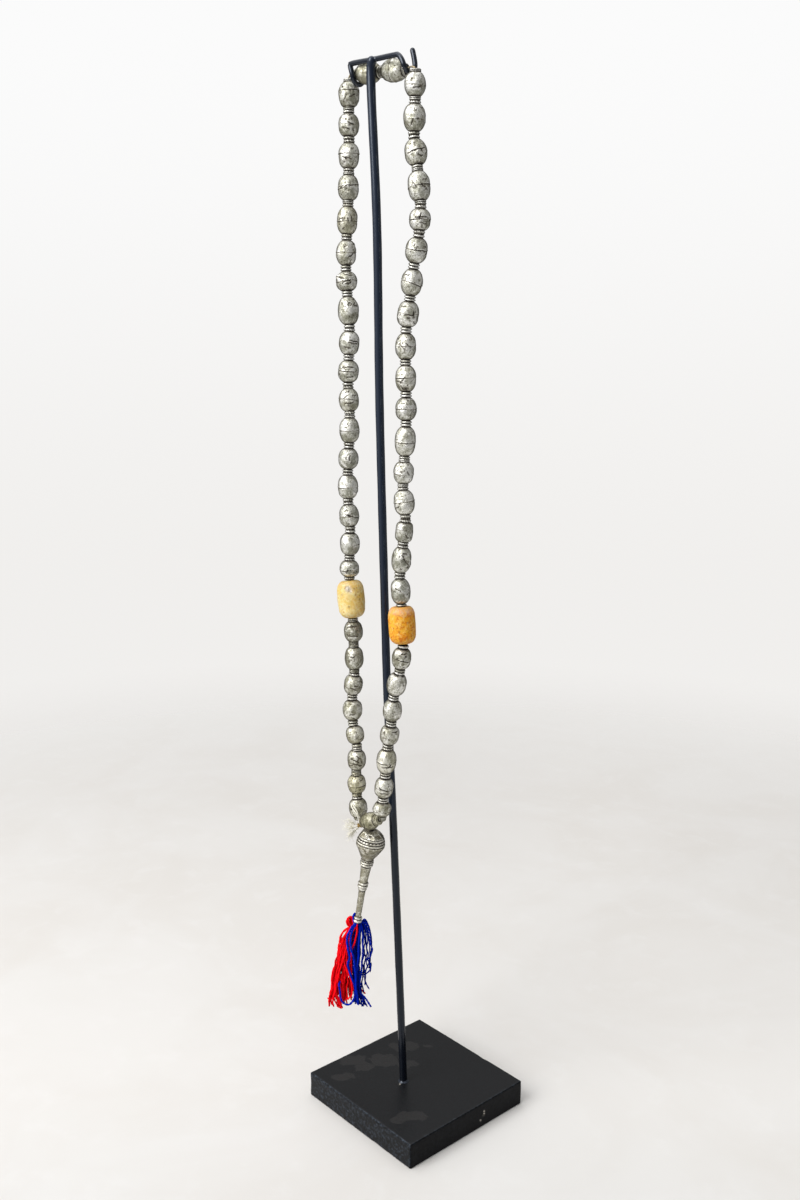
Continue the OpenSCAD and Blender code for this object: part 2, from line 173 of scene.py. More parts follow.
class Build:
    """Collects points, faces and per-point values for one piece."""

    def __init__(self):
        self.v, self.f, self.a, self.n = [], [], {}, 0

    def add(self, v, faces, **values):
        v = np.asarray(v, float).reshape(-1, 3)
        for q in faces:
            q = np.asarray(q)
            if len(q):
                self.f.append(q + self.n)
        for k in set(self.a) | set(values):
            self.a.setdefault(k, [np.zeros(self.n)] if self.n else [])
            x = values.get(k, 0.0)
            self.a[k].append(np.broadcast_to(np.asarray(x, float).reshape(-1) if np.ndim(x) else np.full(len(v), x), (len(v),)))
        self.v.append(v)
        self.n += len(v)

    def piece(self, name, body, nodes, slot, mat, smooth=True):
        v = np.concatenate(self.v) * MM
        me = bpy.data.meshes.new(name)
        sizes = np.concatenate([np.full(len(q), q.shape[1]) for q in self.f])
        loops = np.concatenate([q.reshape(-1) for q in self.f])
        me.vertices.add(len(v))
        me.vertices.foreach_set("co", v.reshape(-1).astype(np.float32))
        me.loops.add(len(loops))
        me.loops.foreach_set("vertex_index", loops.astype(np.int32))
        me.polygons.add(len(sizes))
        me.polygons.foreach_set("loop_start", np.concatenate([[0], np.cumsum(sizes)[:-1]]).astype(np.int32))
        me.polygons.foreach_set("use_smooth", np.full(len(sizes), smooth))
        for k, parts in self.a.items():
            at = me.attributes.new(k, "FLOAT", "POINT")
            at.data.foreach_set("value", np.concatenate(parts).astype(np.float32))
        me.update(calc_edges=True)
        me.validate()
        ob = bpy.data.objects.new(name, me)
        bpy.context.scene.collection.objects.link(ob)
        me.materials.append(mat)
        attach(ob, body)
        if nodes:
            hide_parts(*nodes)
        return ob


def catmull(points, step):
    """A smooth line through hand-set points, with a point about every step mm."""
    p = [np.asarray(q, float) for q in points]
    out = []
    for i in range(len(p) - 1):
        a, b, c, d = p[max(i - 1, 0)], p[i], p[i + 1], p[min(i + 2, len(p) - 1)]
        n = max(2, int(math.ceil(np.linalg.norm(c - b) / step)))
        for t in np.arange(n) / n:
            out.append(0.5 * (2 * b + (c - a) * t + (2 * a - 5 * b + 4 * c - d) * t * t + (3 * b - a - 3 * c + d) * t ** 3))
    out.append(p[-1])
    return np.array(out)


def frames(path):
    """A side direction at each point of a path, carried along so that it doesn't twist."""
    t = np.gradient(path, axis=0)
    t /= np.linalg.norm(t, axis=1)[:, None]
    u = np.cross(t[0], [0.3, 1.0, 0.2])
    us = []
    for k in range(len(path)):
        u = u - (u @ t[k]) * t[k]
        u = u / np.linalg.norm(u)
        us.append(u)
    us = np.array(us)
    return t, us, np.cross(t, us)


def sweep(build, path, r, sides, lobes=0, amp=0.0, pitch=3.0, phase=0.0, **values):
    """A closed tube along a path. lobes and amp give it the turns of plied thread, one turn every pitch mm."""
    path = np.asarray(path, float)
    n = len(path)
    t, u, w = frames(path)
    r = np.broadcast_to(np.asarray(r, float), (n,))
    s = np.concatenate([[0], np.cumsum(np.linalg.norm(np.diff(path, axis=0), axis=1))])
    ang = 2 * np.pi * np.arange(sides) / sides
    rr = r[:, None] * (1 + amp * np.cos(lobes * ang[None, :] - 2 * np.pi * s[:, None] / pitch + phase)) if lobes else r[:, None] + 0 * ang[None, :]
    v = path[:, None, :] + rr[..., None] * (np.cos(ang)[None, :, None] * u[:, None, :] + np.sin(ang)[None, :, None] * w[:, None, :])
    build.add(v, [grid_faces(n, sides, flip=False)[:, [0, 1, 2, 3]],
                  [list(range(sides))[::-1]], [[(n - 1) * sides + k for k in range(sides)]]], **values)
    return s


def noise_waves(rng, n, low, high):
    """n random plane waves, for smooth repeatable unevenness."""
    d = rng.normal(size=(n, 3))
    d /= np.linalg.norm(d, axis=1)[:, None]
    return d * rng.uniform(low, high, n)[:, None], rng.uniform(0, 2 * np.pi, n)


def waves(p, k):
    return np.sin(p @ k[0].T + k[1]).mean(-1) * math.sqrt(2.0 * len(k[1]) / 2.0)


# ---------------------------------------------------------------- materials
class Nodes:
    def __init__(self, name):
        self.mat = bpy.data.materials.new(name)
        self.mat.use_nodes = True
        self.t = self.mat.node_tree
        self.t.nodes.clear()
        self.out = self.t.nodes.new("ShaderNodeOutputMaterial")
        self.bsdf = self.t.nodes.new("ShaderNodeBsdfPrincipled")
        self.t.links.new(self.bsdf.outputs[0], self.out.inputs[0])
        self.coord = self.t.nodes.new("ShaderNodeTexCoord").outputs["Object"]

    def put(self, sock, x):
        if isinstance(x, bpy.types.NodeSocket):
            self.t.links.new(x, sock)
        elif x is not None:
            sock.default_value = x

    def node(self, kind, props=None, **inputs):
        n = self.t.nodes.new(kind)
        for k, x in (props or {}).items():
            setattr(n, k, x)
        for k, x in inputs.items():
            self.put(n.inputs[k.replace("_", " ")], x)
        return n

    def noise(self, scale, detail=3.0, rough=0.55, distort=0.0, at=None):
        return self.node("ShaderNodeTexNoise", Vector=at or self.coord, Scale=scale, Detail=detail, Roughness=rough,
                         Distortion=distort).outputs["Fac"]

    def cells(self, scale, feature="F1", out="Distance", rand=1.0):
        n = self.node("ShaderNodeTexVoronoi", {"feature": feature}, Vector=self.coord, Scale=scale, Randomness=rand)
        return n.outputs[out]

    def ramp(self, x, lo, hi, a=0.0, b=1.0):
        n = self.t.nodes.new("ShaderNodeMapRange")
        n.interpolation_type = "SMOOTHSTEP"
        n.clamp = True
        self.put(n.inputs["Value"], x)
        for k, v in (("From Min", lo), ("From Max", hi), ("To Min", a), ("To Max", b)):
            n.inputs[k].default_value = v
        return n.outputs["Result"]

    def math(self, op, a, b=0.0, clamp=False):
        n = self.t.nodes.new("ShaderNodeMath")
        n.operation = op
        n.use_clamp = clamp
        self.put(n.inputs[0], a)
        self.put(n.inputs[1], b)
        return n.outputs[0]

    def mix(self, f, a, b, mode="MIX"):
        n = self.t.nodes.new("ShaderNodeMix")
        n.data_type = "RGBA"
        n.blend_type = mode
        n.clamp_result = False
        self.put(n.inputs["Factor"], f)
        for sock, x in ((n.inputs[6], a), (n.inputs[7], b)):
            self.put(sock, x if isinstance(x, bpy.types.NodeSocket) else (*x, 1.0))
        return n.outputs[2]

    def attr(self, name):
        n = self.t.nodes.new("ShaderNodeAttribute")
        n.attribute_name = name
        return n.outputs["Fac"]

    def bump(self, height, strength, distance, normal=None):
        n = self.t.nodes.new("ShaderNodeBump")
        n.inputs["Strength"].default_value = strength
        n.inputs["Distance"].default_value = distance
        self.put(n.inputs["Height"], height)
        if normal is not None:
            self.put(n.inputs["Normal"], normal)
        return n.outputs["Normal"]

    def set(self, **k):
        for name, x in k.items():
            if isinstance(x, tuple) and len(x) == 3 and name not in ("Subsurface_Radius",):
                x = (*x, 1.0)
            self.put(self.bsdf.inputs[name.replace("_", " ")], x)
        return self.mat


def silver(name, light, mid, low, rough, shift):
    m = Nodes(name)
    dirt, tone, gold, worn = m.attr("dirt"), m.attr("tone"), m.attr("gold"), m.attr("worn")
    big = m.noise(240, 3.0, 0.6, 0.5)
    fine = m.noise(820, 4.0, 0.72, 1.0)
    grain = m.noise(3400, 2.0, 0.6)
    area = m.noise(330, 2.0, 0.5)
    picked = m.math("MULTIPLY", m.ramp(m.cells(620), 0.06, 0.26, 1.0, 0.0), m.ramp(area, 0.46, 0.56))
    lines = m.math("MULTIPLY", m.ramp(m.cells(470, "DISTANCE_TO_EDGE"), 0.02, 0.11, 1.0, 0.0), m.ramp(m.noise(520, 2.0, 0.5), 0.53, 0.62))
    # how much the tarnish is rubbed off
    rub = m.math("ADD", m.math("MULTIPLY", worn, 0.55), m.ramp(fine, 0.36, 0.62, -0.05, 0.45))
    rub = m.math("ADD", rub, m.ramp(big, 0.35, 0.68, -0.22, 0.28))
    # tone darkens the colour: each part's own tone, with painted shade and light added to it
    rub = m.math("SUBTRACT", rub, m.math("ADD", m.math("MULTIPLY", tone, 0.6), shift))
    col = m.mix(m.ramp(rub, 0.0, 0.5), low, mid)
    col = m.mix(m.ramp(rub, 0.4, 0.85), col, light)
    col = m.mix(m.math("MULTIPLY", gold, m.ramp(fine, 0.3, 0.7, 0.3, 0.7)), col, (0.60, 0.55, 0.30))
    black = m.math("ADD", m.math("MULTIPLY", dirt, m.ramp(fine, 0.25, 0.7, 1.15, 0.85)), m.math("MULTIPLY", picked, 0.8))
    black = m.math("ADD", black, m.math("MULTIPLY", lines, 0.5), clamp=True)
    col = m.mix(m.ramp(black, 0.12, 0.5), col, m.mix(0.35, (0.13, 0.10, 0.065), col))
    col = m.mix(m.ramp(black, 0.42, 0.85), col, (0.018, 0.014, 0.010))
    # painted shade: a dark outline where the surface turns away from view, standing in for the dark surroundings that
    # the beads' edges reflect
    rim = m.node("ShaderNodeLayerWeight", Blend=0.5).outputs["Facing"]
    col = m.mix(m.ramp(rim, 0.38, 0.82, 0.0, 0.8), col, (0.085, 0.075, 0.05))
    r = m.math("ADD", m.ramp(rub, 0.1, 0.9, rough + 0.14, rough), m.math("MULTIPLY", black, 0.28))
    metal = m.ramp(black, 0.15, 0.9, 0.9, 0.15)
    n = m.bump(m.math("ADD", m.math("MULTIPLY", fine, 1.0), m.math("MULTIPLY", grain, 0.22)), 0.6, 0.00032)
    n = m.bump(m.math("MULTIPLY", m.math("MAXIMUM", picked, lines), -1.0), 0.7, 0.00022, n)
    return m.set(Base_Color=col, Roughness=r, Metallic=metal, Normal=n, Specular_IOR_Level=0.4)


def amber(name, base, pale, speck, mottle, rust, vein):
    m = Nodes(name)
    dirt, chip, rim = m.attr("dirt"), m.attr("chip"), m.attr("rim")
    a = m.noise(150, 4.0, 0.6, 0.8)
    b = m.noise(400, 4.0, 0.65, 0.5)
    c = m.noise(1500, 2.0, 0.5)
    col = m.mix(m.ramp(a, 0.36, 0.64), base, pale)
    col = m.mix(m.ramp(b, 0.45, 0.64, 0.0, mottle), col, speck)
    net = m.math("MULTIPLY", m.ramp(m.cells(330, "DISTANCE_TO_EDGE"), 0.02, 0.14, 1.0, 0.0), m.ramp(m.noise(240, 2.0), 0.44, 0.6))
    col = m.mix(m.math("MULTIPLY", net, 0.6), col, vein)
    spots = m.math("MULTIPLY", m.ramp(m.cells(380), 0.08, 0.32, 1.0, 0.0), m.ramp(m.noise(260, 1.0), 0.46, 0.56))
    col = m.mix(m.math("MULTIPLY", spots, 0.75), col, rust)
    col = m.mix(m.math("MULTIPLY", rim, m.ramp(b, 0.35, 0.65, 0.3, 1.0)), col, (0.78, 0.52, 0.33))
    col = m.mix(m.math("MULTIPLY", dirt, m.ramp(b, 0.3, 0.6, 0.6, 1.0)), col, (0.22, 0.10, 0.035))
    col = m.mix(m.math("MULTIPLY", chip, m.ramp(c, 0.35, 0.6, 0.7, 1.0)), col, m.mix(m.ramp(c, 0.45, 0.56), (0.36, 0.32, 0.30), (0.85, 0.82, 0.76)))
    r = m.ramp(b, 0.35, 0.7, 0.34, 0.6)
    n = m.bump(m.math("ADD", m.math("ADD", b, m.math("MULTIPLY", net, 0.3)), m.math("MULTIPLY", c, 0.3)), 0.5, 0.0006)
    return m.set(Base_Color=col, Roughness=r, Normal=n, Subsurface_Weight=0.15, Subsurface_Radius=(0.004, 0.002, 0.0008),
                 Subsurface_Scale=0.5, IOR=1.5, Specular_IOR_Level=0.35)


def cloth(name, light, dark, scale, rough=0.9, sheen=0.12, dark_share=0.6):
    m = Nodes(name)
    a = m.noise(scale, 3.0, 0.6, 0.5)
    b = m.noise(scale * 5, 2.0, 0.6)
    shade = m.attr("shade")
    f = m.math("ADD", m.math("MULTIPLY", m.ramp(a, 0.3, 0.72), dark_share), shade, clamp=True)
    col = m.mix(f, light, dark)
    n = m.bump(m.math("ADD", a, b), 0.5, 0.00015)
    return m.set(Base_Color=col, Roughness=rough, Normal=n, Specular_IOR_Level=sheen)


def black_paint(name, base, dull_and_sheen, scuff, rough, worn, tint, haze=0.12, gloss=0.4):
    m = Nodes(name)
    edge, nick, patch, side = m.attr("edge"), m.attr("nick"), m.attr("patch"), m.attr("side")
    a = m.noise(60, 4.0, 0.6, 0.8)
    b = m.noise(420, 5.0, 0.7)
    c = m.noise(2600, 2.0, 0.6)
    # patch: duller patches on the block; on the rod, a painted sheen that gives its upper part the bluer dull colour
    marks = m.ramp(m.math("ADD", patch, m.ramp(a, 0.2, 0.8, -0.35, 0.35)), 0.47, 0.53)
    col = m.mix(m.math("MULTIPLY", marks, 0.85), base, dull_and_sheen)
    # painted shade: where shut is set, the colour goes almost to black and the reflection is cut back
    col = m.mix(m.math("MULTIPLY", m.attr("shut"), 0.75), col, m.mix(m.ramp(m.noise(300, 4.0, 0.7), 0.35, 0.65), (0.0010, 0.0010, 0.0013), (0.006, 0.006, 0.007)))
    speck = m.math("MULTIPLY", side, m.ramp(b, 0.45, 0.7))
    col = m.mix(m.math("MULTIPLY", speck, 0.42), col, scuff)
    col = m.mix(m.math("MULTIPLY", edge, m.ramp(b, 0.4, 0.68, 0.05, 0.6)), col, scuff)
    col = m.mix(m.math("MULTIPLY", m.ramp(m.noise(900, 3.0), 0.68, 0.76), worn), col, scuff)
    col = m.mix(nick, col, (0.62, 0.58, 0.52))
    r = m.math("ADD", m.math("MULTIPLY", marks, haze), m.ramp(b, 0.3, 0.7, rough, rough + 0.8 * haze))
    n = m.bump(m.math("ADD", b, m.math("MULTIPLY", c, 0.3)), 0.3, 0.0025 * haze)
    return m.set(Base_Color=col, Roughness=r, Normal=n, Specular_IOR_Level=m.ramp(m.attr("shut"), 0.0, 1.0, gloss, 0.06),
                 Specular_Tint=tint)


SILVER = silver("silver", (0.93, 0.93, 0.90), (0.64, 0.64, 0.58), (0.32, 0.32, 0.26), 0.41, -0.04)
SILVER_DARK = silver("silver_dark", (0.92, 0.915, 0.88), (0.61, 0.605, 0.54), (0.29, 0.285, 0.225), 0.43, -0.03)
SILVER_MATT = silver("silver_matt", (0.74, 0.73, 0.64), (0.47, 0.46, 0.38), (0.24, 0.235, 0.17), 0.6, 0.05)
SILVER_HEAD = silver("silver_head", (0.93, 0.92, 0.87), (0.56, 0.545, 0.47), (0.27, 0.255, 0.195), 0.43, 0.03)
AMBER_PALE = amber("amber_pale", (0.74, 0.51, 0.13), (0.82, 0.67, 0.31), (0.66, 0.40, 0.08), 0.6, (0.38, 0.15, 0.03), (0.84, 0.74, 0.42))
AMBER_ORANGE = amber("amber_orange", (0.80, 0.31, 0.006), (0.84, 0.43, 0.03), (0.60, 0.17, 0.003), 1.0, (0.32, 0.07, 0.004), (0.92, 0.62, 0.18))
THREAD = cloth("thread", (0.72, 0.66, 0.50), (0.24, 0.155, 0.05), 700)
FRAY = cloth("fray", (0.95, 0.94, 0.86), (0.70, 0.64, 0.46), 500, 0.9, 0.1, 0.3)
RED = cloth("yarn_red", (0.98, 0.006, 0.012), (0.50, 0.002, 0.006), 600, 0.95, 0.02)
BLUE = cloth("yarn_blue", (0.002, 0.018, 0.44), (0.001, 0.003, 0.075), 600, 0.95, 0.01)
BASE = black_paint("base_paint", (0.0065, 0.0068, 0.0080), (0.0175, 0.0165, 0.0168), (0.07, 0.09, 0.12), 0.30, 0.3, (0.94, 0.97, 1.0))
ROD_PAINT = black_paint("rod_paint", (0.004, 0.006, 0.012), (0.008, 0.014, 0.030), (0.05, 0.06, 0.08), 0.13, 0.05, (0.78, 0.87, 1.0), 0.04, 0.6)


# ---------------------------------------------------------------- silver beads
# What the photo shows on single beads. A row for each mark: across (-1 left to 1 right), along (-1 bottom to 1 top),
# width mm, depth mm (negative stands out), how dark.
MARKS = {
    "L1": [(0.22, 0.15, 0.7, 0.35, 0.9), (-0.2, -0.2, 1.6, 0.25, 0.25), (0.75, 0.5, 1.6, 0.4, 0.5)],
    "L2": [(-0.25, 0.35, 1.0, 0.3, 0.5), (0.35, 0.4, 0.9, 0.3, 0.8), (0.15, -0.15, 0.9, 0.35, 0.8), (0.45, -0.45, 1.1, 0.3, 0.5), (-0.4, -0.2, 0.9, -0.25, 0.0)],
    "L3": [(0.5, 0.5, 0.6, 0.3, 0.9), (-0.2, -0.3, 0.9, 0.3, 0.8), (0.15, -0.2, 0.8, 0.25, 0.8)],
    "L4": [(-0.68, -0.08, 0.8, 0.7, 1.0), (-0.1, -0.25, 1.7, 0.4, 0.3), (0.05, 0.12, 1.1, -0.3, 0.0)],
    "L5": [(-0.15, 0.15, 0.5, 0.25, 0.7), (0.45, 0.2, 0.5, 0.25, 0.7), (0.1, -0.5, 1.4, 0.25, 0.2)],
    "L7": [(-0.45, 0.25, 0.8, 0.3, 0.9), (0.3, -0.3, 1.4, 0.3, 0.4)],
    "L8": [(0.5, -0.4, 1.2, 0.3, 0.4)],
    "L9": [(0.5, 0.1, 0.5, 0.3, 0.9), (0.45, -0.3, 0.5, 0.3, 0.8)],
    "L13": [(-0.2, 0.1, 0.45, 0.35, 0.9), (0.15, 0.1, 0.45, 0.35, 0.9)],
    "L15": [(0.1, -0.05, 1.3, 0.45, 0.9), (-0.4, 0.4, 1.0, 0.25, 0.3)],
    "L17": [(-0.05, -0.1, 0.55, 0.45, 1.0), (0.12, -0.12, 0.5, 0.4, 1.0), (-0.2, -0.1, 0.45, 0.35, 0.9)],
    "L19": [(0.0, 0.5, 0.6, 0.4, 1.0), (0.2, 0.5, 0.5, 0.35, 0.9), (-0.2, 0.45, 0.5, 0.35, 0.9), (0.45, 0.1, 1.2, 0.3, 0.6), (-0.4, -0.2, 1.2, 0.25, 0.5)],
    "L20": [(0.1, 0.3, 0.55, 0.45, 1.0), (0.12, 0.05, 0.45, 0.4, 1.0), (-0.5, -0.2, 1.0, 0.3, 0.7)],
    "L24": [(0.2, 0.2, 0.9, 0.35, 0.7), (-0.3, -0.2, 1.0, 0.35, 0.6), (0.4, -0.4, 0.8, 0.3, 0.7)],
    "L26": [(0.3, 0.2, 0.8, 0.25, 0.6)],
    "R1": [(-0.35, 0.35, 0.55, 0.4, 0.95), (-0.7, 0.2, 0.5, 0.35, 0.8), (-0.3, -0.15, 0.6, 0.35, 0.8), (0.4, 0.05, 0.5, 0.35, 0.8), (0.2, 0.6, 0.5, 0.3, 0.7)],
    "R2": [(0.32, -0.12, 0.75, 0.55, 1.0), (-0.3, 0.1, 0.45, 0.2, 0.6)],
    "R3": [(0.2, -0.4, 0.75, 0.45, 0.9), (-0.3, -0.35, 1.5, 0.35, 0.3), (0.0, 0.25, 0.5, 0.25, 0.6)],
    "R4": [(0.15, 0.02, 0.45, 0.3, 0.8), (-0.6, 0.05, 0.6, 0.3, 0.6), (0.5, -0.2, 0.6, 0.35, 0.8), (0.0, -0.45, 1.2, 0.25, 0.2)],
    "R5": [(0.0, 0.5, 1.1, -0.45, 0.0), (-0.1, 0.12, 0.6, 0.4, 1.0), (0.2, 0.12, 0.6, 0.35, 0.9)],
    "R9": [(-0.3, 0.3, 0.55, 0.35, 0.8), (0.2, 0.1, 0.5, 0.35, 0.8), (0.45, -0.3, 0.5, 0.3, 0.8), (-0.1, -0.4, 0.55, 0.3, 0.7)],
    "R10": [(0.0, -0.8, 2.0, 0.3, 0.8)],
    "R13": [(-0.3, 0.2, 0.5, 0.35, 0.9), (0.25, 0.4, 0.5, 0.35, 0.9), (0.1, -0.3, 0.5, 0.3, 0.8)],
    "R16": [(0.45, 0.1, 2.6, 0.95, 0.25), (0.2, 0.45, 0.8, 0.3, 0.7)],
    "R17": [(0.0, 0.5, 0.9, -0.2, 0.0), (0.1, -0.2, 1.6, 0.25, 0.3)],
    "R19": [(0.45, 0.42, 0.95, 0.8, 1.0), (0.0, 0.6, 0.7, 0.3, 0.7), (0.2, -0.3, 1.3, 0.25, 0.3)],
    "R23": [(0.1, -0.35, 0.5, 0.35, 1.0)],
    "J": [(-0.1, 0.3, 0.9, 0.2, 0.3), (0.5, -0.1, 1.2, 0.25, 0.5)],
}
# The seam round each bead's middle: along (-1 to 1), slant, height mm
SEAMS = {
    "L1": (0.3, 0.05, 0.10), "L2": (0.0, 0.0, 0.03), "L3": (0.13, 0.02, 0.16), "L4": (0.05, 0.25, 0.10), "L5": (-0.05, 0.06, 0.16),
    "L6": (0.03, 0.02, 0.12), "L8": (-0.3, 0.0, 0.0), "L7": (0.0, 0.1, 0.10), "L10": (0.05, -0.05, 0.15), "L12": (0.0, 0.05, 0.10), "L14": (-0.02, 0.03, 0.10),
    "R3": (0.0, 0.0, 0.03), "R5": (0.02, 0.08, 0.18), "R6": (0.08, 0.03, 0.20), "R7": (-0.02, -0.2, 0.2), "R8": (0.1, 0.05, 0.08),
    "R11": (0.02, 0.0, 0.12), "R14": (0.05, 0.06, 0.16), "R20": (0.0, 0.0, 0.0), "R15": (0.3, 0.0, 0.05), "R18": (0.0, 0.1, 0.06),
    "J": (0.0, 0.0, 0.05),
}
# Darkness and yellowness of single beads
TONE = {"L2": 0.25, "L19": 0.55, "L20": 0.5, "L21": 0.25, "L22": 0.2, "L23": 0.15, "L24": 0.35, "L25": 0.2, "L26": 0.1,
        "R10": 0.1, "R15": 0.25, "R16": 0.15, "R17": 0.3, "R19": 0.3, "R20": -0.15, "R21": -0.05, "R22": 0.05, "R23": 0.0,
        "R24": -0.05, "R25": 0.15, "J": 0.3, "A": 0.75, "B": 0.25}
GOLD = {"L5": 0.45, "L11": 0.25, "L22": 0.2, "L23": 0.4, "L24": 0.2, "L25": 0.8, "L26": 0.25, "R23": 0.4, "R3": 0.2, "R10": 0.2,
        "R24": 0.15, "R25": 0.2, "J": 0.35, "A": 0.4}

COLS = 84


def bead_profile(h, r, full, neck):
    """Body radius at heights from -h to h."""
    end = (1 - (neck / r) ** 2) ** (1 / full)

    def radius(z):
        t = np.clip(np.abs(z) / h, 0, 1) * end
        return r * np.sqrt(np.maximum(1 - t ** full, 0))
    return radius


def line_dist(P, q):
    """Distance of each point of P from the line through the points q."""
    best = np.full(len(P), 1e9)
    for a, b in zip(q[:-1], q[1:]):
        e = b - a
        t = np.clip(((P - a) @ e) / (e @ e), 0, 1)
        best = np.minimum(best, np.linalg.norm(P - a - t[:, None] * e, axis=1))
    return best


# Creases: start across and along, end across and along (-1 to 1), depth mm
CREASES = {
    "L1": [(-0.35, 0.42, 0.55, 0.36, -0.3), (0.1, -0.35, 0.6, -0.1, 0.2)], "L2": [(-0.6, -0.35, 0.1, -0.5, 0.2), (0.0, 0.05, 0.5, -0.1, 0.3)],
    "L3": [(-0.6, -0.2, 0.3, -0.35, 0.2)], "L4": [(-0.9, 0.0, -0.45, 0.02, 0.5), (-0.3, 0.05, 0.5, 0.15, 0.2)],
    "L5": [(-0.45, 0.12, -0.35, -0.1, 0.2), (0.1, 0.1, 0.15, -0.12, 0.2), (0.45, 0.25, 0.5, -0.05, 0.2)],
    "L7": [(-0.85, 0.45, -0.2, 0.15, 0.4), (-0.1, 0.6, 0.6, 0.45, 0.3), (-0.3, -0.2, 0.4, 0.0, 0.25)],
    "L9": [(0.1, 0.2, 0.85, 0.12, 0.3), (0.0, 0.02, 0.8, -0.06, 0.3), (-0.5, -0.35, 0.2, -0.42, 0.2)],
    "L10": [(-0.6, 0.35, 0.5, 0.42, 0.2), (-0.1, -0.55, 0.5, -0.45, 0.25)], "L11": [(-0.4, -0.3, 0.0, -0.34, 0.3), (0.1, -0.34, 0.45, -0.28, 0.3)],
    "L13": [(-0.2, 0.25, -0.18, -0.05, 0.3), (0.15, 0.25, 0.16, -0.05, 0.3)], "L15": [(-0.2, 0.05, 0.4, -0.1, 0.3)],
    "L19": [(-0.5, 0.55, 0.45, 0.6, 0.4), (-0.6, -0.32, 0.5, -0.36, 0.3)], "L21": [(-0.3, -0.1, 0.4, -0.3, 0.2)],
    "L22": [(-0.3, -0.3, 0.2, -0.28, 0.4)], "L24": [(-0.6, 0.3, 0.3, 0.0, 0.3), (-0.4, -0.2, 0.6, -0.35, 0.3), (0.0, 0.6, 0.5, 0.3, 0.2)],
    "R1": [(-0.2, -0.4, 0.5, -0.3, 0.2)], "R3": [(-0.75, -0.2, -0.1, -0.07, 0.26), (-0.1, -0.07, 0.8, 0.1, 0.26)],
    "R4": [(0.2, -0.05, 0.7, -0.4, 0.3), (-0.6, 0.2, -0.3, -0.1, 0.2)], "R5": [(-0.5, 0.1, 0.6, 0.22, 0.4), (0.0, 0.1, 0.05, 0.5, 0.3)],
    "R8": [(-0.3, -0.05, 0.5, -0.02, 0.2), (0.5, 0.3, 0.6, -0.2, 0.2)], "R9": [(-0.6, 0.2, -0.1, -0.3, 0.2), (0.0, 0.2, 0.5, -0.1, 0.2)],
    "R16": [(0.0, 0.5, 0.75, -0.3, 0.3), (0.1, 0.6, 0.5, 0.62, 0.3)], "R17": [(-0.5, 0.3, 0.0, 0.1, 0.2)], "R19": [(-0.1, 0.62, 0.5, 0.68, 0.3)],
    "R23": [(-0.4, -0.3, 0.7, -0.22, 0.3)], "R24": [(-0.5, 0.2, 0.5, -0.1, 0.2), (-0.3, -0.3, 0.6, -0.3, 0.2)], "J": [(-0.3, 0.0, 0.4, -0.2, 0.2)],
}


def planes(pts, i):
    """The planes that part the bead between points i and i + 1 from its neighbours."""
    out = []
    for k in (i, i + 1):
        if k == 0 or k >= len(pts) - 1:
            out.append(None)
        else:
            out.append((pts[k], unit(unit(pts[k] - pts[k - 1]) + unit(pts[k + 1] - pts[k]))))
    return out


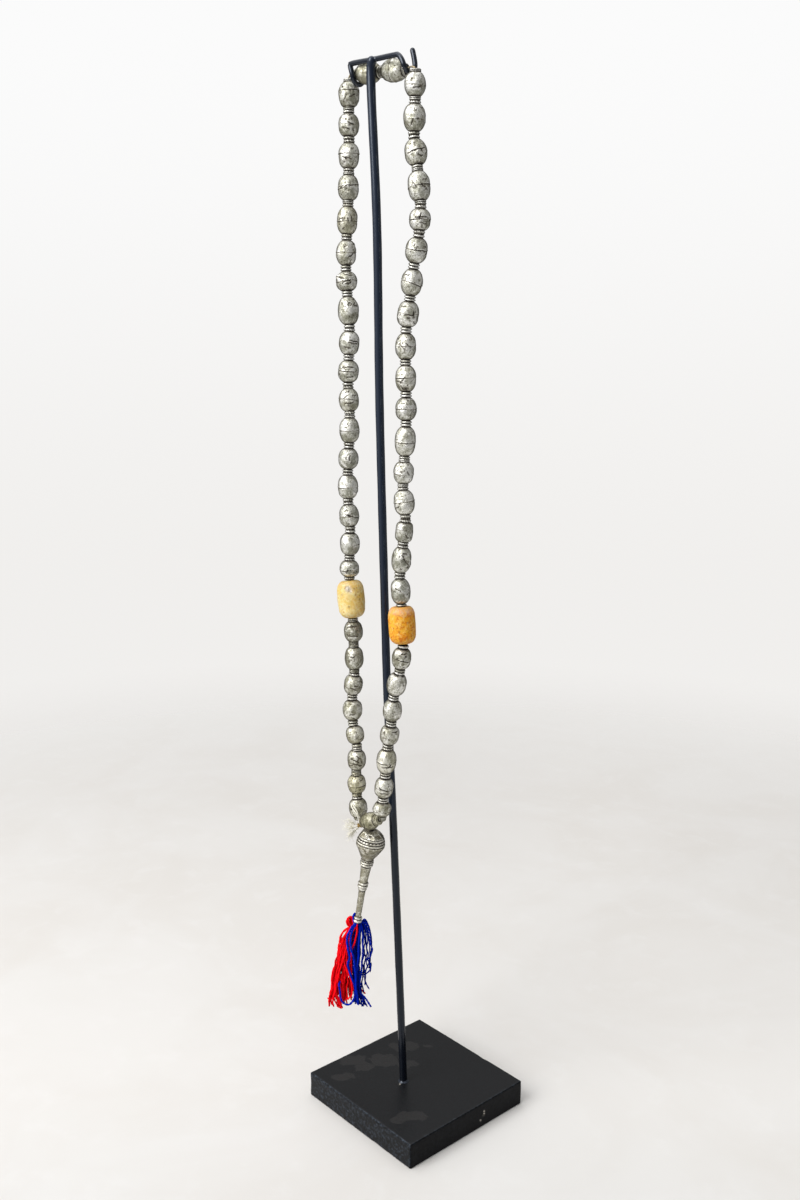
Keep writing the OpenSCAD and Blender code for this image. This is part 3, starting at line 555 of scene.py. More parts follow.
def bead(build, key, a, b, dia, full=FULL, collar_a=1.0, collar_b=1.0, plane_a=None, plane_b=None):
    """A silver bead from its upper end a to its lower end b."""
    rng = np.random.default_rng(sum(ord(c) * 7 ** i for i, c in enumerate(key)) + 11)
    w = unit(a - b)
    e1 = unit(TOWARD - (TOWARD @ w) * w)
    e2 = np.cross(w, e1)
    mid, half = (a + b) / 2, np.linalg.norm(a - b) / 2
    ha, hb = half - COLLAR_H * collar_a, half - COLLAR_H * collar_b     # body ends, top and bottom
    mid_z, h = (ha - hb) / 2, (ha + hb) / 2
    neck = 3.3
    radius = bead_profile(h, dia / 2, full, neck)
    along, slant, high = SEAMS.get(key, (rng.uniform(-0.12, 0.12), rng.uniform(-0.12, 0.12), rng.choice([0.0, 0.05, 0.09, 0.12])))
    zs = along * h
    rows = np.unique(np.round(np.concatenate([
        h * np.sin(np.linspace(-math.pi / 2, math.pi / 2, 42)),
        zs + np.array([-0.8, -0.55, -0.38, -0.22, -0.08, 0.08, 0.24, 0.42, 0.65])]), 3))
    rows = rows[(rows >= -h) & (rows <= h)]
    keep = [rows[0]]
    for z in rows[1:]:
        if z - keep[-1] > 0.1:
            keep.append(z)
    keep[-1] = h
    rows = np.array(keep)
    ang = 2 * np.pi * np.arange(COLS) / COLS
    Z, A = np.meshgrid(rows, ang, indexing="ij")
    slope = slant * h * np.sin(A) * 0.9 + 0.15 * np.sin(3 * A + rng.uniform(0, 6)) * (high > 0)
    Z = Z + slope * np.exp(-((Z - zs) / (0.42 * h)) ** 2) * (1 - np.abs(Z / h) ** 4)
    R = radius(Z)
    P = np.stack([R * np.cos(A), R * np.sin(A), Z], -1).reshape(-1, 3)
    fade = (1 - np.abs(Z / h) ** 6).reshape(-1)
    d, dirt = np.zeros(len(P)), np.zeros(len(P))
    # overall unevenness of the thin sheet
    d += 0.15 * waves(P, noise_waves(rng, 10, 0.25, 0.7)) * fade
    d += 0.075 * waves(P, noise_waves(rng, 14, 0.9, 1.9)) * fade

    def place(x, y, fixed=True):
        phi = math.asin(max(-0.98, min(0.98, x))) if fixed else x
        rr = float(radius(np.array(y * h)))
        return np.array([rr * math.cos(phi), rr * math.sin(phi), y * h]), phi

    # the listed marks, then others anywhere
    spots = [(*m, True) for m in MARKS.get(key, [])]
    calm = 1.0 if key[0] in "AB" or (key[1:] and int(key[1:]) < 12) else 0.6
    for _ in range(int(calm * rng.integers(34, 48))):
        kind = rng.random()
        x, y = rng.uniform(0, 2 * math.pi), rng.uniform(-0.85, 0.85)
        if kind < 0.22:
            spots.append((x, y, rng.uniform(1.1, 2.3), rng.uniform(0.14, 0.34) * (1 if rng.random() < 0.75 else -0.7), rng.uniform(0.1, 0.3), False))
        elif kind < 0.42:
            spots.append((x, y, rng.uniform(0.7, 1.5), 0.04, rng.uniform(0.3, 0.6), False))
        else:
            spots.append((x, y, rng.uniform(0.38, 0.68), rng.uniform(0.14, 0.32), rng.uniform(0.7, 1.0), False))
    for x, y, s, k, g, fixed in spots:
        q, _ = place(x, y, fixed)
        dist = np.linalg.norm(P - q, axis=1)
        d += (-k * np.exp(-(dist / s) ** 2) + 0.3 * k * np.exp(-((dist - 1.4 * s) / (0.4 * s)) ** 2)) * np.minimum(1, fade * 1.5)
        if k > 0:
            dirt = np.maximum(dirt, g * np.exp(-(dist / (0.95 * s)) ** 2))
    # creases
    lines = []
    for x0, y0, x1, y1, k in CREASES.get(key, []):
        f0, f1 = math.asin(x0), math.asin(x1)
        n = 7
        u = np.linspace(0, 1, n)
        lines.append((f0 + (f1 - f0) * u, y0 + (y1 - y0) * u + 0.025 * np.sin(u * 9 + x0 * 7), k))
    for _ in range(int(calm * rng.integers(2, 5))):
        f0, y0, k = rng.uniform(0, 2 * math.pi), rng.uniform(-0.7, 0.7), rng.uniform(0.1, 0.24)
        long = rng.uniform(0.25, 0.8)
        tilt = rng.normal(0, 0.5)
        u = np.linspace(0, 1, 6)
        lines.append((f0 + long * u * math.cos(tilt), y0 + long * 0.8 * u * math.sin(tilt) + 0.03 * np.sin(u * 8 + f0), k))
    for f, y, k in lines:
        y = np.clip(y, -0.93, 0.93)
        rr = radius(y * h)
        q = np.stack([rr * np.cos(f), rr * np.sin(f), y * h], -1)
        dist = line_dist(P, q)
        d += -k * np.exp(-(dist / 0.36) ** 2) + 0.45 * k * np.exp(-((dist - 0.8) / 0.35) ** 2)
        dirt = np.maximum(dirt, min(1.0, 0.75 + 1.2 * k) * np.exp(-(dist / 0.42) ** 2))
    if key == "L7":                            # the torn, lifted edge at its upper left
        q, _ = place(-0.86, 0.5)
        dist = np.linalg.norm(P - q, axis=1)
        d += 1.0 * np.exp(-(dist / 1.5) ** 2)
        q, _ = place(-0.55, 0.3)
        dist = np.linalg.norm(P - q, axis=1)
        d -= 0.7 * np.exp(-(dist / 1.2) ** 2)
    if key == "L8":                            # a round dimple with a bright rim
        q, _ = place(0.2, 0.36)
        dist = np.linalg.norm(P - q, axis=1)
        round_it = np.exp(-(dist / 2.6) ** 4)
        d *= 1 - round_it
        dirt *= 1 - round_it
        d += -0.55 * np.exp(-(dist / 1.25) ** 4) + 0.38 * np.exp(-((dist - 1.85) / 0.36) ** 2)
        dirt = np.maximum(dirt, 0.9 * np.exp(-((dist - 1.25) / 0.3) ** 2))
    # seam: a raised lip with a dark line under it
    z0 = Z - (zs + slope)
    patchy = 0.7 + 0.3 * np.sin(2 * A + rng.uniform(0, 6))
    lip = 1.9 * high * np.exp(-((z0 - 0.15) / 0.34) ** 2) - 1.5 * high * np.exp(-((z0 + 0.42) / 0.28) ** 2)
    d += (lip * patchy).reshape(-1)
    if high > 0.04:
        dirt = np.maximum(dirt, (min(1, high * 9) * patchy * np.exp(-((z0 + 0.42) / 0.38) ** 2)).reshape(-1))
    worn = np.clip(0.5 + (d - 0.02) / 0.34, 0, 1)
    # dark bands beside the collars, at each end of the body
    rim_z = np.minimum(h - Z, Z + h).reshape(-1)
    dirt = np.maximum(dirt, np.clip(0.95 + 0.3 * waves(P, noise_waves(rng, 6, 0.8, 1.6)), 0, 1) * np.exp(-(rim_z / 0.85) ** 2))
    R2 = np.maximum(R.reshape(-1) + d, 1.6)
    body = np.stack([R2 * np.cos(A).reshape(-1), R2 * np.sin(A).reshape(-1), Z.reshape(-1) + mid_z], -1)
    # collars: a bright beaded or plain ring, with dark grooves beside it
    turns = int(rng.integers(11, 15))
    out = 3.86 + rng.uniform(-0.08, 0.1)
    kind = rng.random()
    if kind < 0.3:                              # one beaded ring
        prof = [(0.05, 3.2, 1.0, 0), (0.2, out - 0.3, 0.7, .5), (0.36, out - 0.05, 0.0, .6), (0.6, out + 0.05, 0.0, .6), (0.86, out + 0.05, 0.0, .6), (1.08, out - 0.05, 0.0, .6),
                (1.24, out - 0.3, 0.5, .4), (1.34, 3.2, 1.0, 0), (1.46, 3.25, 0.9, 0), (1.56, 3.5, 0.5, .4), (1.72, 3.5, 0.45, .4)]
    elif kind < 0.8:                            # one broad plain ring, rounded over
        prof = [(0.05, 3.2, 1.0, 0), (0.3, 3.1, 1.0, 0), (0.46, out - 0.5, 0.95, 0), (0.54, out - 0.12, 0.2, 0), (0.68, out, 0.0, 0), (0.9, out + 0.05, 0.0, 0),
                (1.1, out + 0.05, 0.0, 0), (1.3, out, 0.0, 0), (1.42, out - 0.12, 0.0, 0), (1.5, out - 0.4, 0.6, 0), (1.6, out - 0.7, 1.0, 0), (1.76, out - 0.8, 1.0, 0)]
    else:                                       # two thinner rings, the outer one beaded
        prof = [(0.05, 3.2, 1.0, 0), (0.14, out - 0.25, 0.5, 0), (0.26, out, 0.0, 0), (0.5, out, 0.0, 0), (0.62, out - 0.3, 0.8, 0), (0.7, 3.15, 1.0, 0),
                (0.84, 3.15, 1.0, 0), (0.94, out - 0.3, 0.4, .2), (1.06, out - 0.02, 0.0, .4), (1.46, out - 0.03, 0.0, .4), (1.62, out - 0.3, 0.5, .2)]
    prof = prof + [(1.8, out - 0.45, 0.95, 0), (1.80, 2.2, 0.95, 0), (1.72, 1.2, 1.0, 0), (0.9, 1.05, 1.0, 0)]
    stacked = [(0.04, 3.3, 0.8, 0), (0.1, out - 0.1, 0.3, 0), (0.2, out + 0.15, 0.0, .3), (0.38, out + 0.15, 0.0, .3), (0.48, out - 0.2, 0.3, 0), (0.54, 3.2, 0.7, 0),
               (0.6, out - 0.25, 0.2, 0), (0.7, out, 0.0, .2), (0.92, out, 0.0, .2), (1.02, out - 0.3, 0.3, 0), (1.08, 3.0, 0.6, 0),
               (1.16, out - 0.4, 0.2, 0), (1.3, out - 0.15, 0.0, 0), (1.56, out - 0.2, 0.0, 0), (1.7, out - 0.5, 0.1, 0), (1.78, 2.9, 0.3, 0),
               (1.8, 2.5, 0.0, 0), (1.8, 1.9, 0.1, 0), (1.76, 1.5, 0.4, 0), (1.6, 1.2, 0.8, 0), (0.9, 1.05, 1.0, 0)]
    if collar_a < 0.15 or collar_b < 0.15:
        raise ValueError("a collar has no height")

    def collar(zend, sgn, k, wob, plane, prof=prof):
        """Rings of points out to the plane between this bead and the next (a point and a direction along the string)."""
        rings, dd, ww = [], [], []
        far = 2.6 if prof is stacked else 1.3
        for z, r, g, t in prof:
            turn = np.cos(turns * ang + sgn * z * 2.0)
            rr = r + 0.2 * t * (turn - 0.3) + 0.05 * np.sin(2 * ang + wob) * (r > 2.5)
            x, y = rr * np.cos(ang), rr * np.sin(ang)
            reach = np.full(COLS, COLLAR_H * k)
            if plane is not None:
                q, nn = plane
                base = mid + x[:, None] * e1 + y[:, None] * e2 + zend * w
                reach = ((q - base) @ nn) / (sgn * (w @ nn)) - 0.06
                reach = np.clip(reach, COLLAR_H * k - 0.2, COLLAR_H * k + far)
            elif prof is stacked:
                reach = np.full(COLS, COLLAR_H * k + 1.9)
            rings.append(np.stack([x, y, zend + sgn * z / COLLAR_H * reach], -1))
            dd.append(np.clip(g + 0.85 * t * (0.5 - 0.5 * turn) ** 2, 0, 1) + 0 * ang)
            ww.append(np.full(COLS, 0.95 if g < 0.3 else 0.3))
        return np.array(rings), np.array(dd), np.array(ww)
    lower, dl, wl = collar(-hb, -1, collar_b, rng.uniform(0, 6), plane_b, stacked if key == "R25" else prof)
    upper, du, wu = collar(ha, 1, collar_a, rng.uniform(0, 6), plane_a, stacked if key == "J" else prof)
    n = len(rows)
    stack = np.concatenate([lower[::-1], body.reshape(n, COLS, 3), upper])
    dirt_all = np.concatenate([dl[::-1].reshape(-1), dirt, du.reshape(-1)])
    worn_all = np.concatenate([wl[::-1].reshape(-1), worn, wu.reshape(-1)])
    total = len(stack)
    pos = mid + stack[..., 0:1] * e1 + stack[..., 1:2] * e2 + stack[..., 2:3] * w
    # painted shade and light in tone: each bead darkens towards its lower end, and the right-hand beads are made
    # lighter, on top of each bead's own tone
    build.add(pos, [grid_faces(total, COLS), np.array([list(range(COLS))[::-1]]), np.array([[(total - 1) * COLS + k for k in range(COLS)]])],
              dirt=np.clip(dirt_all, 0, 1), worn=worn_all,
              tone=TONE.get(key, rng.uniform(0.0, 0.15) - 0.1 * (key[0] == "R")) + 0.42 * np.clip(-stack[..., 2].reshape(-1) / half, 0, 1) - 0.05, gold=GOLD.get(key, rng.uniform(0.0, 0.15)))


def full_of(row):
    return row[4] if len(row) > 4 else FULL


for side, rows, pts, word in (("L", LEFT_ROWS, LEFT_PTS, "left"), ("R", RIGHT_ROWS, RIGHT_PTS, "right")):
    for i, row in enumerate(rows):
        bd = Build()
        a, b = ends(pts, i, COLLAR_R)
        bead(bd, f"{side}{i + 1}", a, b, row[1], full_of(row), 1.0, 1.0, *planes(pts, i))
        bd.piece(f"silver_bead_{word}_{i + 1:02d}", "root", [f"bead_{word}_{i + 1:02d}"], "silver", SILVER)
for i, key in enumerate("AB"):
    bd = Build()
    b, a = ends(TOP, i, COLLAR_R)
    bead(bd, key, a, b, 14.3)
    name = ("left", "right")[i]
    bd.piece(f"silver_bead_top_{name}", "root", [f"bead_top_{name}"], "silver", SILVER)
for side, rows, pts, first, word in (("L", LEFT_RUN, LEFT_PTS, len(LEFT_ROWS) + 1, "left"), ("R", RIGHT_RUN, RIGHT_PTS, len(RIGHT_ROWS) + 1, "right")):
    for i, row in enumerate(rows):
        bd = Build()
        a, b = ends(pts, first + i, COLLAR_R)
        bead(bd, f"{side}{first + i + 1}", a, b, row[1], full_of(row), 1.0, 1.0, *planes(pts, first + i))
        bd.piece(f"silver_bead_{word}_{first + i + 1:02d}", "root", [f"run_{word}"], "silver_dark", SILVER_DARK)
bd = Build()
bead(bd, "J", LAST[0] + 0.4 * RIGHT, LAST[1] + 0.4 * RIGHT, 13.2, 2.2, 1.0, 0.8)
bd.piece("silver_bead_last", "root", ["run_right"], "silver_dark", SILVER_MATT)


# ---------------------------------------------------------------- barrel beads
def barrel(name, node, pts, i, dia, top_r, low_r, slot, mat, chips, seed, worn_top):
    rng = np.random.default_rng(seed)
    a, b = ends(pts, i, 5.8)
    w = unit(a - b)
    e1 = unit(TOWARD - (TOWARD @ w) * w)
    e2 = np.cross(w, e1)
    mid, half, r = (a + b) / 2, np.linalg.norm(a - b) / 2, dia / 2
    cols = 96
    ang = 2 * np.pi * np.arange(cols) / cols
    prof = []
    corner = 6.6
    for z in np.linspace(-half + corner, half - corner, 22):
        t = z / half
        lean = 0.35 * (t if top_r > low_r else -t)
        prof.append((z, r - 1.1 * abs(t) ** 2.0 - 0.12 + 0.3 * lean))
    lo, hi = [], []
    for k in np.linspace(0, 1, 18)[1:]:
        s, c = math.sin(k * math.pi / 2), math.cos(k * math.pi / 2)
        r0, r1 = prof[0][1], prof[-1][1]
        lo.append((-half + corner - corner * s, low_r + (r0 - low_r) * c ** 1.12))
        hi.append((half - corner + corner * s, top_r + (r1 - top_r) * c ** 1.12))
    bore = [(0.0, 4.0), (0.1, 2.4), (0.35, 1.5), (1.6, 1.3)]
    line = [(-half + q, x) for q, x in bore][::-1] + lo[::-1] + prof + hi + [(half - q, x) for q, x in bore]
    z, rr = np.array(line).T
    Z, A = np.meshgrid(z, ang, indexing="ij")
    R = np.repeat(rr[:, None], cols, 1)
    P = np.stack([R * np.cos(A), R * np.sin(A), Z], -1).reshape(-1, 3)
    outer = (R.reshape(-1) > 4.2)
    d = (0.22 * waves(P, noise_waves(rng, 8, 0.12, 0.4)) + 0.07 * waves(P, noise_waves(rng, 12, 0.7, 1.6))
         + 0.02 * waves(P, noise_waves(rng, 12, 2.5, 4.5)))
    chip, dirt = np.zeros(len(P)), np.zeros(len(P))
    for x, y, s, k, c, g in chips:
        phi, zz = math.asin(x), y * half
        rz = np.interp(zz, z, rr)
        q = np.array([rz * math.cos(phi), rz * math.sin(phi), zz])
        dist = np.linalg.norm(P - q, axis=1)
        bell = np.exp(-(dist / s) ** 3)
        d -= k * bell * (1 + 0.5 * waves(P, noise_waves(rng, 8, 2.0, 4.0)))
        chip, dirt = np.maximum(chip, c * bell), np.maximum(dirt, g * bell)
    d *= outer
    dirt = np.maximum(dirt, 0.8 * np.exp(-((R.reshape(-1) - 2.0) / 2.6) ** 2))
    dirt = np.maximum(dirt, 0.25 * np.exp(-((np.abs(Z.reshape(-1)) - half + 1.2) / 1.4) ** 2))
    rad = np.hypot(P[:, 0], P[:, 1]) + d
    v = np.stack([rad * np.cos(A).reshape(-1), rad * np.sin(A).reshape(-1), Z.reshape(-1)], -1)
    pos = mid + v[:, 0:1] * e1 + v[:, 1:2] * e2 + v[:, 2:3] * w
    n = len(line)
    bd = Build()
    bd.add(pos, [grid_faces(n, cols), np.array([list(range(cols))[::-1]]), np.array([[(n - 1) * cols + k for k in range(cols)]])],
           chip=chip, dirt=dirt, rim=np.exp(-((Z.reshape(-1) - half + 2.2) / 2.4) ** 2) * worn_top)
    bd.piece(name, "root", [node], slot, mat)


barrel("barrel_pale", "amber_left", LEFT_PTS, len(LEFT_ROWS), 20.1, 5.1, 4.3, "amber_pale", AMBER_PALE,
       [(-0.1, 0.6, 2.4, 0.6, 1.0, 0.2), (0.06, 0.46, 1.4, 0.5, 0.9, 0.2), (-0.24, 0.66, 1.0, 0.4, 0.9, 0.2), (-0.15, -0.35, 0.9, 0.25, 0.0, 0.6), (0.7, 0.0, 0.9, 0.2, 0.0, 0.7),
        (-0.6, 0.3, 1.4, 0.15, 0.0, 0.3)], 5, 0.25)
barrel("barrel_orange", "amber_right", RIGHT_PTS, len(RIGHT_ROWS), 19.7, 5.6, 4.5, "amber_orange", AMBER_ORANGE,
       [(0.05, 0.93, 2.6, 0.2, 0.35, 0.1), (-0.6, 0.9, 2.0, 0.15, 0.3, 0.1), (-0.2, -0.25, 0.7, 0.2, 0.0, 0.7), (0.4, 0.2, 0.6, 0.2, 0.0, 0.5)], 8, 0.75)


# ---------------------------------------------------------------- head bead and stem
def lean_frame(lean):
    a = math.radians(lean)
    w = np.array([math.sin(a), 0.0, math.cos(a)])
    e1 = unit(TOWARD - (TOWARD @ w) * w)
    return e1, np.cross(w, e1), w


def below(top, lean, l):
    a = math.radians(lean)
    return top - l * np.array([math.sin(a), 0.0, math.cos(a)])


HEAD_LOW = below(HEAD_TOP, HEAD_LEAN, HEAD_L)


def swung(points, degrees):
    a = math.radians(degrees)
    q = np.asarray(points, float) - PIVOT
    return PIVOT + np.stack([q[:, 0], math.cos(a) * q[:, 1] - math.sin(a) * q[:, 2], math.sin(a) * q[:, 1] + math.cos(a) * q[:, 2]], -1)


def off_the_rod(points, degrees, gap):
    """Presses in what would come nearer than gap to the rod's axis when swung by degrees."""
    q = swung(points, degrees)
    line = np.array(ROD[:6], float)
    axis = np.stack([np.interp(q[:, 2], line[:, 2], line[:, i]) for i in (0, 1)], -1)
    away = q[:, :2] - axis
    far = np.linalg.norm(away, axis=1)
    q[:, :2] += away * (np.clip(gap - far, 0, None) / np.maximum(far, 1e-6))[:, None]
    return swung(q, -degrees)


def off_the_head(points, gap=1.3):
    """Moves fibres out of the room that the head bead sweeps when it swings forward."""
    depth, wide = np.array([(-0.4, 0), (-0.3, 3), (1.1, 6.2), (5.4, 9.3), (7, 10.1), (9, 10.7), (11, 11.2), (13, 11.2), (14.3, 10.5), (24, 5.1)]).T
    w = lean_frame(HEAD_LEAN)[2]
    p = np.asarray(points, float)
    for _ in range(2):
        for degrees in (0, -7, -14, -21, -28.5):
            q = swung(p, -degrees)
            rel = q - HEAD_TOP
            along = rel @ w
            side = rel - along[:, None] * w
            far = np.linalg.norm(side, axis=1)
            need = np.interp(-along, depth, wide, 0, 0)
            need = np.where(need > 0, need + gap, 0)
            q = q + side * (np.clip(need - far, 0, None) / np.maximum(far, 1e-6))[:, None]
            p = swung(q, degrees)
    return p
STEM_TOP = HEAD_LOW - np.array([0.1, 0, 0.6])
STEM_LOW = below(STEM_TOP, STEM_LEAN, STEM_L)
TASSEL_TOP = STEM_LOW - np.array([0.1, 0, 0.7])


def head():
    rng = np.random.default_rng(31)
    e1, e2, w = lean_frame(HEAD_LEAN)
    cols = 192
    ang = 2 * np.pi * np.arange(cols) / cols
    R, L = HEAD_R, HEAD_L
    # height below the top, radius, how flat-sided, dirt
    line = [(-3.0, 1.25, 0, 1), (-0.4, 1.3, 0, 1), (0.0, 1.6, 0, .9), (0.0, 2.3, 0, .5), (0.3, 2.9, 0, .3), (0.55, 3.6, 0, .4), (0.85, 4.8, 0, .2),
            (1.1, 5.8, 0.3, .15)]
    for k in np.linspace(0, 1, 26):
        line.append((1.4 + 3.95 * k, 6.5 + 2.8 * math.sin(k * math.pi / 2) ** 0.9, 1.0, 0.0))
    line += [(5.45, 9.1, 0, 1), (5.55, 9.1, 0, 1)]
    for z0, z1, base, hi in ((5.65, 7.25, 9.2, 0.65), (7.65, 9.4, 9.85, 0.7), (9.8, 11.6, 10.25, 0.7)):
        for k in np.linspace(0, 1, 9):
            line.append((z0 + (z1 - z0) * k, base + hi * max(0.0, math.sin(math.pi * k)) ** 0.6 + 0.25 * k, 0, 1.0 if k in (0, 1) else 0.0))
        line.append((z1 + 0.2, base + 0.2, 0, 1))
    line += [(11.95, 10.75, 0, .6), (12.3, 11.0, 0, .1), (12.9, 11.0, 0, 0), (13.6, 10.8, 0, 0)]
    for k in np.linspace(0, 1, 26):
        line.append((14.3 + (L - 14.9) * k, 10.35 - 5.35 * k ** 1.04, 0, 0.0))
    line += [(L - 0.35, 4.95, 0, .3), (L - 0.1, 4.7, 0, .5), (L, 4.0, 0, .8), (L, 1.6, 0, 1), (L - 2, 1.3, 0, 1)]
    z, rr, flat, dirt = np.array(line).T
    Z, A = np.meshgrid(z, ang, indexing="ij")
    RR, FL, DI = (np.repeat(x[:, None], cols, 1) for x in (rr, flat, dirt))
    step = 2 * math.pi / 8
    turn = (A + 0.05 + step / 2) % step - step / 2
    panel = np.round((A + 0.05) / step) % 8
    plane = (6.0 + 2.85 * np.clip((Z - 1.4) / 3.95, -0.1, 1.05)) / np.cos(turn)
    plane = np.where(panel == 0, plane * np.cos(turn) * math.cos(0.24) / np.cos(turn + 0.24), plane)
    cut = FL * np.maximum(RR - plane, 0)
    RR = RR - cut
    P = np.stack([RR * np.cos(A), RR * np.sin(A), -Z], -1).reshape(-1, 3)
    upper = (Z > 1.2) & (Z < 5.42)
    border = np.exp(-(((step / 2 - np.abs(turn)) * RR) / 0.5) ** 2) * upper + np.exp(-((Z - 5.1) / 0.4) ** 2) + 0.8 * np.exp(-((Z - 1.5) / 0.35) ** 2)
    border = np.clip(border, 0, 1)
    ridges = (Z > 5.6) & (Z < 11.7)
    worn = 0.45 + 0.55 * border + 0.55 * ridges
    # the flat panels are darker inside their bright borders and the lower part is darker; painted light and shade: the
    # front panel is left light, and the upper-left panel is painted darker on one half and lighter on the other
    tone = np.where(upper, 0.45 * (1 - border), 0.0) + 0.3 * (Z > 12.0)
    tone = np.where(upper & (panel == 0), 0.0, tone)
    tone = np.where(upper & (panel == 7), 0.5 + 0.5 * np.clip(-turn / 0.3, -1, 1), tone)
    raised = 0.24 * np.exp(-(((step / 2 - np.abs(turn)) * RR) / 0.42) ** 2) * upper
    DI = np.maximum(DI, 0.6 * np.exp(-(((step / 2 - np.abs(turn)) * RR - 0.95) / 0.26) ** 2) * upper * (Z > 2) * (panel != 0))
    d = 0.07 * waves(P, noise_waves(rng, 8, 0.4, 0.9)) + 0.03 * waves(P, noise_waves(rng, 10, 1.5, 3.0))
    mask = (RR.reshape(-1) > 3.4)
    d = (d + raised.reshape(-1)) * mask
    DI = DI.reshape(-1).copy()
    # a ring of punched dots with a dot inside it, on each flat panel
    for k in range(8):
        a0 = -0.05 + step * k - (0.09 if k == 0 else 0)
        zc = 2.65 if k == 0 else 3.45
        rc = 6.0 + 2.85 * (zc - 1.4) / 3.95
        q = np.array([rc * math.cos(a0), rc * math.sin(a0), -zc])
        dist = np.linalg.norm(P - q, axis=1)
        around = np.arctan2(P[:, 2] - q[2], (P[:, 1] - q[1]) * math.cos(a0) - (P[:, 0] - q[0]) * math.sin(a0))
        ring = np.exp(-((dist - 1.35) / 0.34) ** 2) * (0.6 + 0.4 * np.cos(7 * around))
        petal = np.exp(-((dist - 0.75) / 0.3) ** 2) * np.clip(np.cos(4 * around), 0, 1)
        dot = np.exp(-(dist / 0.38) ** 2)
        ring, dot, petal = (0.45 * q for q in (ring, dot, petal)) if k in (0, 7) else (ring, dot, petal)
        d -= 0.2 * ring + 0.22 * dot + 0.15 * petal
        DI = np.maximum(DI, 0.95 * ring + 0.9 * dot + 0.8 * petal + (0.62 * np.exp(-(dist / 1.35) ** 4) if k == 0 else 0))
    for x, zc, s, k, g in ((0.04, 9.6, 0.55, 0.5, 1.0), (-0.2, 17.5, 1.5, 0.25, 0.3), (0.4, 19.0, 1.2, 0.2, 0.35), (0.3, 16.0, 0.5, 0.2, 0.6), (-0.35, 15.0, 0.9, 0.2, 0.5)):
        phi = math.asin(x)
        rc = np.interp(zc, z, rr)
        q = np.array([rc * math.cos(phi), rc * math.sin(phi), -zc])
        bell = np.exp(-(np.linalg.norm(P - q, axis=1) / s) ** 2)
        d -= k * bell
        DI = np.maximum(DI, g * bell)
    # the middle band is a twisted wire
    band = np.exp(-((Z.reshape(-1) - 8.1) / 0.5) ** 4)
    tw = np.cos(24 * A.reshape(-1) + 2.5 * (Z.reshape(-1) - 8.0))
    d += 0.12 * band * tw
    DI = np.maximum(DI, 0.8 * band * (0.5 - 0.5 * tw) ** 1.5)
    rad = np.hypot(P[:, 0], P[:, 1]) + d
    v = np.stack([rad * np.cos(A).reshape(-1), rad * np.sin(A).reshape(-1), -Z.reshape(-1)], -1)
    pos = HEAD_TOP + v[:, 0:1] * e1 + v[:, 1:2] * e2 + v[:, 2:3] * w
    # the bead was soldered up a little askew: its bands tip, and it sits slightly to the right
    zz, skin = Z.reshape(-1), np.clip((RR.reshape(-1) - 3.2) / 1.5, 0, 1)
    tip = 0.17 * np.clip(zz / 5, 0, 1) * (1 - 0.75 * np.clip((zz - 13) / 9, 0, 1)) * skin
    pos = pos + (v[:, 0] * tip)[:, None] * w + (0.9 * np.clip(zz / 5, 0, 1) * (1 - 0.6 * np.clip((zz - 16) / 8, 0, 1)) * skin)[:, None] * RIGHT
    pos = off_the_rod(pos, 25.0, 3.45)
    n = len(line)
    bd = Build()
    bd.add(pos, [grid_faces(n, cols, flip=True), np.array([list(range(cols))]), np.array([[(n - 1) * cols + k for k in range(cols)][::-1]])],
           dirt=np.clip(DI, 0, 1), tone=tone.reshape(-1), gold=0.2, worn=np.clip(worn.reshape(-1) + d / 0.4, 0, 1))
    bd.piece("head_bead", "pendant", ["imam_bead"], "silver_head", SILVER_HEAD)


head()


